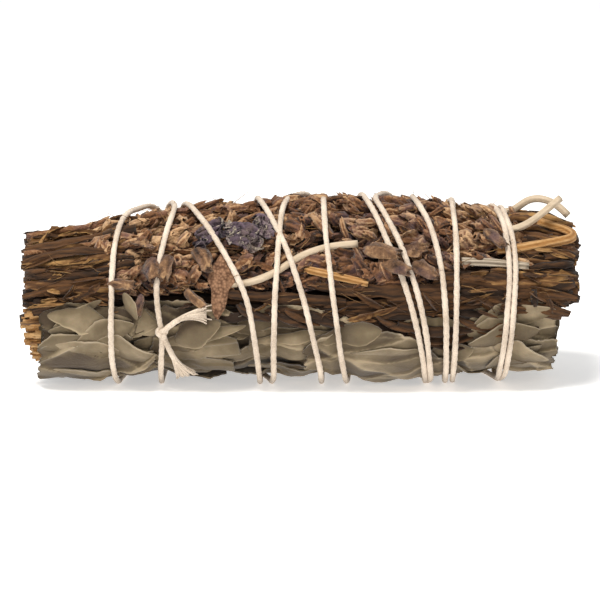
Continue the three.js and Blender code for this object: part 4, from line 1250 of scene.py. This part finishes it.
def make_petals(petal, seed, material):
    """A withered corolla: crumpled lobes, and scraps of petal that stand up at all angles."""
    name, start, stop, half = petal
    rng = np.random.default_rng(seed)
    skin = Skin()
    middle = (start[0] + stop[0]) / 2, (start[1] + stop[1]) / 2
    for side in (-3.5, 0.5, 4.5):
        lobe = [(start[0] - rng.uniform(0, 1), start[1] + side), (middle[0], middle[1] + side * 1.5),
                (stop[0] + rng.uniform(0, 1), stop[1] + side)]
        add_strip(skin, rng, lobe, rng.uniform(0.9, 1.5), rng.uniform(0.1, 0.6), 0.2, 1.1, 0.6)
    for _ in range(PETAL_SCRAPS):
        points, faces, tone = bract(rng, 9, 7, 0.14)
        share, side = rng.uniform(-0.2, 1.2), rng.uniform(-1.2, 0.8) * half
        local = points * [rng.uniform(1.2, 2.4), rng.uniform(1.4, 2.6), rng.uniform(1.5, 2.4)] - [1, 0, 0]
        local = turned(turned(local, 0, rng.uniform(-70, 70)), 1, rng.uniform(-60, 20))
        local = turned(local, 2, rng.uniform(0, 360)) + [0, side, 0]
        x, angle = start[0] + (stop[0] - start[0]) * share, start[1] + (stop[1] - start[1]) * share
        made = in_bunch(*laid(local, x, angle), np.maximum(0.6 - local[:, 2], -0.5))
        if from_string(made[::3]).min() > 0.75:
            skin.add(made, faces, 1.5 * tone + rng.uniform(-0.2, 1.1))
    skin.piece(name + "_fine", material, [name])


# Finishes.

def add_node(tree, kind, links=None, **settings):
    """Adds a node, with its settings, and its inputs as numbers or as sockets to link."""
    made = tree.nodes.new(kind)
    for key, value in settings.items():
        setattr(made, key, value)
    for socket, source in (links or {}).items():
        if isinstance(source, bpy.types.NodeSocket):
            tree.links.new(source, made.inputs[socket])
        else:
            made.inputs[socket].default_value = source
    return made


def new_finish(name, roughness, sheen=0.0, specular=0.3):
    """A new material, with its nodes and its shader."""
    material = bpy.data.materials.new(name)
    material.use_nodes = True
    tree = material.node_tree
    shader = tree.nodes["Principled BSDF"]
    shader.inputs["Roughness"].default_value = roughness
    shader.inputs["Sheen Weight"].default_value = sheen
    shader.inputs["Specular IOR Level"].default_value = specular
    return material, tree, shader


def ramp(tree, factor, stops):
    """A colour ramp with stops of (place, linear colour)."""
    made = add_node(tree, "ShaderNodeValToRGB", {"Fac": factor})
    elements = made.color_ramp.elements
    stops = list(stops)
    while len(elements) < len(stops):
        elements.new(0.5)
    for element, (place, colour) in zip(elements, stops):
        element.position, element.color = place, list(colour)
    return made.outputs["Color"]


def average(tree, a, b):
    """Halfway between two values."""
    total = add_node(tree, "ShaderNodeMath", {0: a, 1: b}, operation="ADD").outputs[0]
    return add_node(tree, "ShaderNodeMath", {0: total, 1: 0.5}, operation="MULTIPLY").outputs[0]


def relief(tree, height, strength, millimetres, under=None):
    """Fine relief from a pattern, over another one where there is one under it."""
    inputs = {"Height": height, "Strength": strength, "Distance": millimetres * MM}
    if under:
        inputs["Normal"] = under
    return add_node(tree, "ShaderNodeBump", inputs).outputs["Normal"]


def dress(tree, colour, normal):
    """Gives the shader its colour and its relief."""
    shader = tree.nodes["Principled BSDF"]
    tree.links.new(colour, shader.inputs["Base Color"])
    tree.links.new(normal, shader.inputs["Normal"])


def velvet_leaf(colours):
    """Dried sage leaf: matt and downy, grey-green going to fawn. Blotches 6 mm wide and the leaf's tone
    choose the colour, fine down specks it, and faint cells and the down give the relief.
    The tone is partly the leaf's own colour and partly painted light and shade: lighter raised folds, darker
    hollows and a painted highlight along the fold edges."""
    material, tree, _ = new_finish("dried_sage_leaf", 0.85, 0.25, 0.2)
    place = add_node(tree, "ShaderNodeTexCoord").outputs["Object"]
    tone = add_node(tree, "ShaderNodeAttribute", attribute_name="tone").outputs["Fac"]
    blotch = add_node(tree, "ShaderNodeTexNoise", {"Vector": place, "Scale": 1 / (6 * MM), "Detail": 5.0})
    colour = ramp(tree, average(tree, blotch.outputs["Fac"], tone), [
        (0.3, colours.sage_shade), (0.5, colours.sage), (0.68, colours.sage_light)])
    down = add_node(tree, "ShaderNodeTexNoise", {"Vector": place, "Scale": 1 / (0.35 * MM), "Detail": 3.0})
    speck = add_node(tree, "ShaderNodeMix", {"Factor": 0.1, "A": colour, "B": down.outputs["Color"]},
                     data_type="RGBA", blend_type="OVERLAY")
    cells = add_node(tree, "ShaderNodeTexVoronoi", {"Vector": place, "Scale": 1 / (0.9 * MM)},
                     feature="DISTANCE_TO_EDGE")
    low = relief(tree, down.outputs["Fac"], 0.5, 0.1)
    dress(tree, speck.outputs["Result"], relief(tree, cells.outputs["Distance"], 0.45, 0.12, low))
    return material


def cotton(colours):
    """Undyed cotton, twisted: creamy and matt. Fine fibres and dirt in patches 5 mm wide choose the
    colour, and the fibres give the relief."""
    material, tree, _ = new_finish("twisted_cotton", 0.9, 0.3, 0.2)
    place = add_node(tree, "ShaderNodeTexCoord").outputs["Object"]
    fibres = add_node(tree, "ShaderNodeTexNoise", {"Vector": place, "Scale": 1 / (0.25 * MM), "Detail": 4.0})
    dirt = add_node(tree, "ShaderNodeTexNoise", {"Vector": place, "Scale": 1 / (5 * MM), "Detail": 2.0})
    shade = average(tree, fibres.outputs["Fac"], dirt.outputs["Fac"])
    colour = ramp(tree, shade, [(0.3, colours.string_shade), (0.6, colours.string)])
    dress(tree, colour, relief(tree, fibres.outputs["Fac"], 0.6, 0.1))
    return material


def streaked(name, colours, streak_mm, roughness=0.85, strength=0.8):
    """Dry stem, split and dusty: streaks drawn out along it and each stem's tone choose the colour, from
    dark to light, and the streaks give the relief.
    The tone is partly each stem's own colour and partly painted light and shade: lighter ridges, darker
    grooves, and darker stems deep in the bunch."""
    material, tree, _ = new_finish(name, roughness, 0.1, 0.25)
    place = add_node(tree, "ShaderNodeTexCoord").outputs["Object"]
    tone = add_node(tree, "ShaderNodeAttribute", attribute_name="tone").outputs["Fac"]
    drawn_out = add_node(tree, "ShaderNodeMapping", {"Vector": place, "Scale": (0.16, 1, 1)})
    fibres = add_node(tree, "ShaderNodeTexNoise", {
        "Vector": drawn_out.outputs["Vector"], "Scale": 1 / (streak_mm * MM), "Detail": 5.0,
        "Roughness": 0.65})
    colour = ramp(tree, average(tree, fibres.outputs["Fac"], tone), zip((0.2, 0.48, 0.74), colours))
    dress(tree, colour, relief(tree, fibres.outputs["Fac"], strength, 0.5))
    return material


def downy(name, colours, tint):
    """Dried flower cups or petals, furred: the fur and each cup's tone choose the colour, from dark to
    light, and patches 4 mm wide have a trace of another tint.
    The tone is partly each cup's own colour and partly painted light and shade: lighter ribs and crumples,
    darker dents and dark mouths."""
    material, tree, _ = new_finish(name, 0.9, 0.15, 0.2)
    place = add_node(tree, "ShaderNodeTexCoord").outputs["Object"]
    tone = add_node(tree, "ShaderNodeAttribute", attribute_name="tone").outputs["Fac"]
    fur = add_node(tree, "ShaderNodeTexNoise", {"Vector": place, "Scale": 1 / (0.5 * MM), "Detail": 5.0})
    patch = add_node(tree, "ShaderNodeTexNoise", {"Vector": place, "Scale": 1 / (4 * MM), "Detail": 2.0})
    colour = ramp(tree, average(tree, fur.outputs["Fac"], tone), zip((0.2, 0.5, 0.8), colours))
    amount = ramp(tree, patch.outputs["Fac"], [(0.5, (0, 0, 0, 1)), (0.7, (0.45, 0.45, 0.45, 1))])
    tinted = add_node(tree, "ShaderNodeMix", {"Factor": amount, "A": colour, "B": tint},
                      data_type="RGBA")
    dress(tree, tinted.outputs["Result"], relief(tree, fur.outputs["Fac"], 1.0, 0.45))
    return material


def pebbled(name, shade, light, size_mm):
    """A thick dried leaf: fine round pebbles, with painted highlights on their tops and painted shade in the
    creases between them, and larger stains."""
    material, tree, _ = new_finish(name, 0.85, 0.15, 0.25)
    place = add_node(tree, "ShaderNodeTexCoord").outputs["Object"]
    cells = add_node(tree, "ShaderNodeTexVoronoi", {"Vector": place, "Scale": 1 / (size_mm * MM)})
    stains = add_node(tree, "ShaderNodeTexNoise", {
        "Vector": place, "Scale": 1 / (size_mm * 2.5 * MM), "Detail": 5.0})
    mixed = add_node(tree, "ShaderNodeMath", {0: cells.outputs["Distance"], 1: stains.outputs["Fac"]},
                     operation="MULTIPLY")
    colour = ramp(tree, mixed.outputs[0], [(0.05, light), (0.42, shade)])
    dress(tree, colour, relief(tree, cells.outputs["Distance"], 0.7, -0.25))
    return material


# Settings, operators and panel.

def colour_setting(name, description, hex_colour):
    """A colour that can be changed in the panel."""
    return bpy.props.FloatVectorProperty(
        name=name, description=description, default=linear(hex_colour), size=4, min=0, max=1,
        subtype="COLOR")


class BunchColours(bpy.types.PropertyGroup):
    """The colours of the dried plants and the string."""

    sage: colour_setting("Sage", "Main colour of the sage leaves", "#6c5e47")
    sage_shade: colour_setting("Sage shade", "Darkest patches of the sage leaves", "#46392a")
    sage_light: colour_setting("Sage light", "Palest patches of the sage leaves", "#9c8b70")
    string: colour_setting("String", "Cotton string", "#e2d2bf")
    string_shade: colour_setting("String shade", "Grooves of the cotton string", "#ae9b86")
    bark: colour_setting("Stems", "Main colour of the brown stems", "#5d3d20")
    bark_shade: colour_setting("Stem shade", "Darkest brown stems", "#28190d")
    bark_light: colour_setting("Stem light", "Palest brown stems", "#ad8551")
    cup: colour_setting("Lavender", "Main colour of the flower cups", "#7e5638")
    cup_shade: colour_setting("Lavender shade", "Darkest flower cups", "#321d0f")
    cup_light: colour_setting("Lavender light", "Palest flower cups", "#cfa97f")
    violet: colour_setting("Violet", "Petals", "#6b5a64")


class BunchSizes(bpy.types.PropertyGroup):
    """The sizes that can be changed without changing the CAD model."""

    lens: bpy.props.FloatProperty(
        name="Lens", description="Focal length of the camera", default=250, min=20, max=300, unit="CAMERA")
    elevation: bpy.props.FloatProperty(
        name="Elevation", description="Height of the camera over the horizon", default=math.radians(13),
        min=0, max=math.radians(90), subtype="ANGLE")
    view_width: bpy.props.FloatProperty(
        name="View width", description="Width of the picture at the bunch", default=119.6 * MM, min=0.01,
        unit="LENGTH")


class BUNCH_OT_string(bpy.types.Operator):
    """Wind the cotton string, with its knot and frayed tails"""

    bl_idname = "bunch.string"
    bl_label = "Cotton String"

    def execute(self, context):
        make_string(cotton(context.scene.bunch_colours))
        return {"FINISHED"}


class BUNCH_OT_stems(bpy.types.Operator):
    """Pack the brown stems and their cut ends"""

    bl_idname = "bunch.stems"
    bl_label = "Brown Stems"

    def execute(self, context):
        c = context.scene.bunch_colours
        stem = streaked("dry_brown_stem", (c.bark_shade, c.bark, c.bark_light), 0.7)
        make_stems(stem)
        make_scraps(stem)
        return {"FINISHED"}


class BUNCH_OT_lavender(bpy.types.Operator):
    """Lay the lavender stalks along the top"""

    bl_idname = "bunch.lavender"
    bl_label = "Lavender"

    def execute(self, context):
        c = context.scene.bunch_colours
        material = downy("dried_lavender_cup", (c.cup_shade, c.cup, c.cup_light), linear(CUP_TINT))
        for i, lane in enumerate(LANES):
            base, tip = (i % 2 * shift for shift in ODD_HEADS)
            left, right = f"lavender_left_{i + 1}", f"lavender_right_{i + 1}"
            make_lavender(left, lane, HEADS_FROM + base, LEFT_TIP + tip, 40 + i, material)
            make_lavender(right, lane, HEADS_TO - base, RIGHT_TIP + tip, 60 + i, material)
        make_large_cups(downy("large_purple_cup", map(linear, LARGE_CUP), linear(LARGE_CUP_TINT)))
        return {"FINISHED"}


class BUNCH_OT_sage(bpy.types.Operator):
    """Wrap the sage leaves round the lower half"""

    bl_idname = "bunch.sage"
    bl_label = "Sage Leaves"

    def execute(self, context):
        material = velvet_leaf(context.scene.bunch_colours)
        for i, leaf in enumerate(LEAVES):
            make_leaf(leaf, 100 + 3 * i, material)
        make_inner_leaves(material)
        make_front_folds(material)
        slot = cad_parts["sage_leaf_pack"].material_slots[0]
        slot.link = "OBJECT"
        slot.material = material
        return {"FINISHED"}


class BUNCH_OT_singles(bpy.types.Operator):
    """Add the loose stems, the red-brown leaf and the violet petals"""

    bl_idname = "bunch.singles"
    bl_label = "Single Pieces"

    def execute(self, context):
        finishes = {kind: streaked(name, map(linear, colours), *rest)
                    for kind, (name, colours, *rest) in STEM_FINISHES.items()}
        for stem in SINGLE_STEMS:
            make_single_stem(stem, finishes[stem[1]])
        make_reddish_leaf(pebbled("pebbled_dry_leaf", *map(linear, RED_LEAF_COLOURS), 0.55))
        violet = context.scene.bunch_colours.violet
        colours = linear(PETAL_SHADE), violet, linear(PETAL_LIGHT)
        petal = downy("withered_petal", colours, linear(PETAL_TINT))
        for i, made in enumerate(PETALS):
            make_petals(made, 200 + 9 * i, petal)
        return {"FINISHED"}


class BUNCH_OT_stage(bpy.types.Operator):
    """Add the floor, the light and the camera"""

    bl_idname = "bunch.stage"
    bl_label = "Stage"

    def execute(self, context):
        make_stage(context.scene, context.scene.bunch_sizes)
        return {"FINISHED"}


OPERATORS = [BUNCH_OT_string, BUNCH_OT_stems, BUNCH_OT_lavender, BUNCH_OT_sage, BUNCH_OT_singles,
             BUNCH_OT_stage]


class BUNCH_PT_panel(bpy.types.Panel):
    """Lists the pieces of the bunch"""

    bl_idname = "BUNCH_PT_panel"
    bl_label = "Sage Bunch"
    bl_space_type = "VIEW_3D"
    bl_region_type = "UI"
    bl_category = "Sage Bunch"

    def draw(self, context):
        for operator in OPERATORS:
            self.layout.operator(operator.bl_idname)
        for group in (context.scene.bunch_sizes, context.scene.bunch_colours):
            for key in group.bl_rna.properties.keys():
                if key not in ("rna_type", "name"):
                    self.layout.prop(group, key)


def aimed(scene, made, place, towards):
    """Puts a light or a camera in the scene, looking the way that it should."""
    made.location = place
    made.rotation_mode = "QUATERNION"
    made.rotation_quaternion = towards.to_track_quat("-Z", "Y")
    scene.collection.objects.link(made)
    return made


def make_stage(scene, sizes):
    """A pale floor, soft light from large panels, and the camera of the photo."""
    mesh = bpy.data.meshes.new("floor")
    corners = [(x * FLOOR_REACH, y * FLOOR_REACH, 0) for x, y in ((-1, -1), (1, -1), (1, 1), (-1, 1))]
    mesh.from_pydata(corners, [], [(0, 1, 2, 3)])
    floor = bpy.data.objects.new("floor", mesh)
    scene.collection.objects.link(floor)
    material, _, shader = new_finish("pale_paper", 0.9)
    shader.inputs["Base Color"].default_value = linear(FLOOR_COLOUR)
    shader.inputs["Emission Color"].default_value = (1, 1, 1, 1)
    shader.inputs["Emission Strength"].default_value = FLOOR_GLOW
    mesh.materials.append(material)

    middle = Vector((0, AXIS_Y * MM, AIM_HEIGHT * MM))
    for name, place, size, watts in LIGHTS:
        lamp = bpy.data.lights.new(name, "AREA")
        lamp.size, lamp.energy, lamp.color = size, watts, LIGHT_COLOUR
        aimed(scene, bpy.data.objects.new(name, lamp), Vector(place), middle - Vector(place))
    world = bpy.data.worlds.new("studio")
    world.use_nodes = True
    background = world.node_tree.nodes["Background"]
    background.inputs["Color"].default_value = (1, 1, 1, 1)
    background.inputs["Strength"].default_value = WORLD_LIGHT
    scene.world = world
    scene.view_settings.view_transform = "Standard"

    lens = bpy.data.cameras.new("camera")
    lens.lens, lens.sensor_width = sizes.lens, SENSOR_WIDTH
    lens.clip_start, lens.clip_end = 0.01, 10
    distance = sizes.view_width * sizes.lens / SENSOR_WIDTH
    away = Vector((0, -math.cos(sizes.elevation), math.sin(sizes.elevation)))
    up = Vector((0, math.sin(sizes.elevation), math.cos(sizes.elevation)))
    aim = middle - up * (AIM_SHIFT * sizes.view_width)
    scene.camera = aimed(scene, bpy.data.objects.new("camera", lens), aim + away * distance, -away)


def register():
    """Adds the settings, the operators and the panel."""
    for each in (BunchColours, BunchSizes, *OPERATORS, BUNCH_PT_panel):
        bpy.utils.register_class(each)
    bpy.types.Scene.bunch_colours = bpy.props.PointerProperty(type=BunchColours)
    bpy.types.Scene.bunch_sizes = bpy.props.PointerProperty(type=BunchSizes)


def unregister():
    """Takes them away again."""
    del bpy.types.Scene.bunch_sizes
    del bpy.types.Scene.bunch_colours
    for each in (BUNCH_PT_panel, *reversed(OPERATORS), BunchSizes, BunchColours):
        bpy.utils.unregister_class(each)


def main():
    """Builds the bunch on its stage."""
    register()
    bpy.ops.bunch.string()
    bpy.ops.bunch.stems()
    bpy.ops.bunch.lavender()
    bpy.ops.bunch.sage()
    bpy.ops.bunch.singles()
    bpy.ops.bunch.stage()


if __name__ == "__main__":
    main()
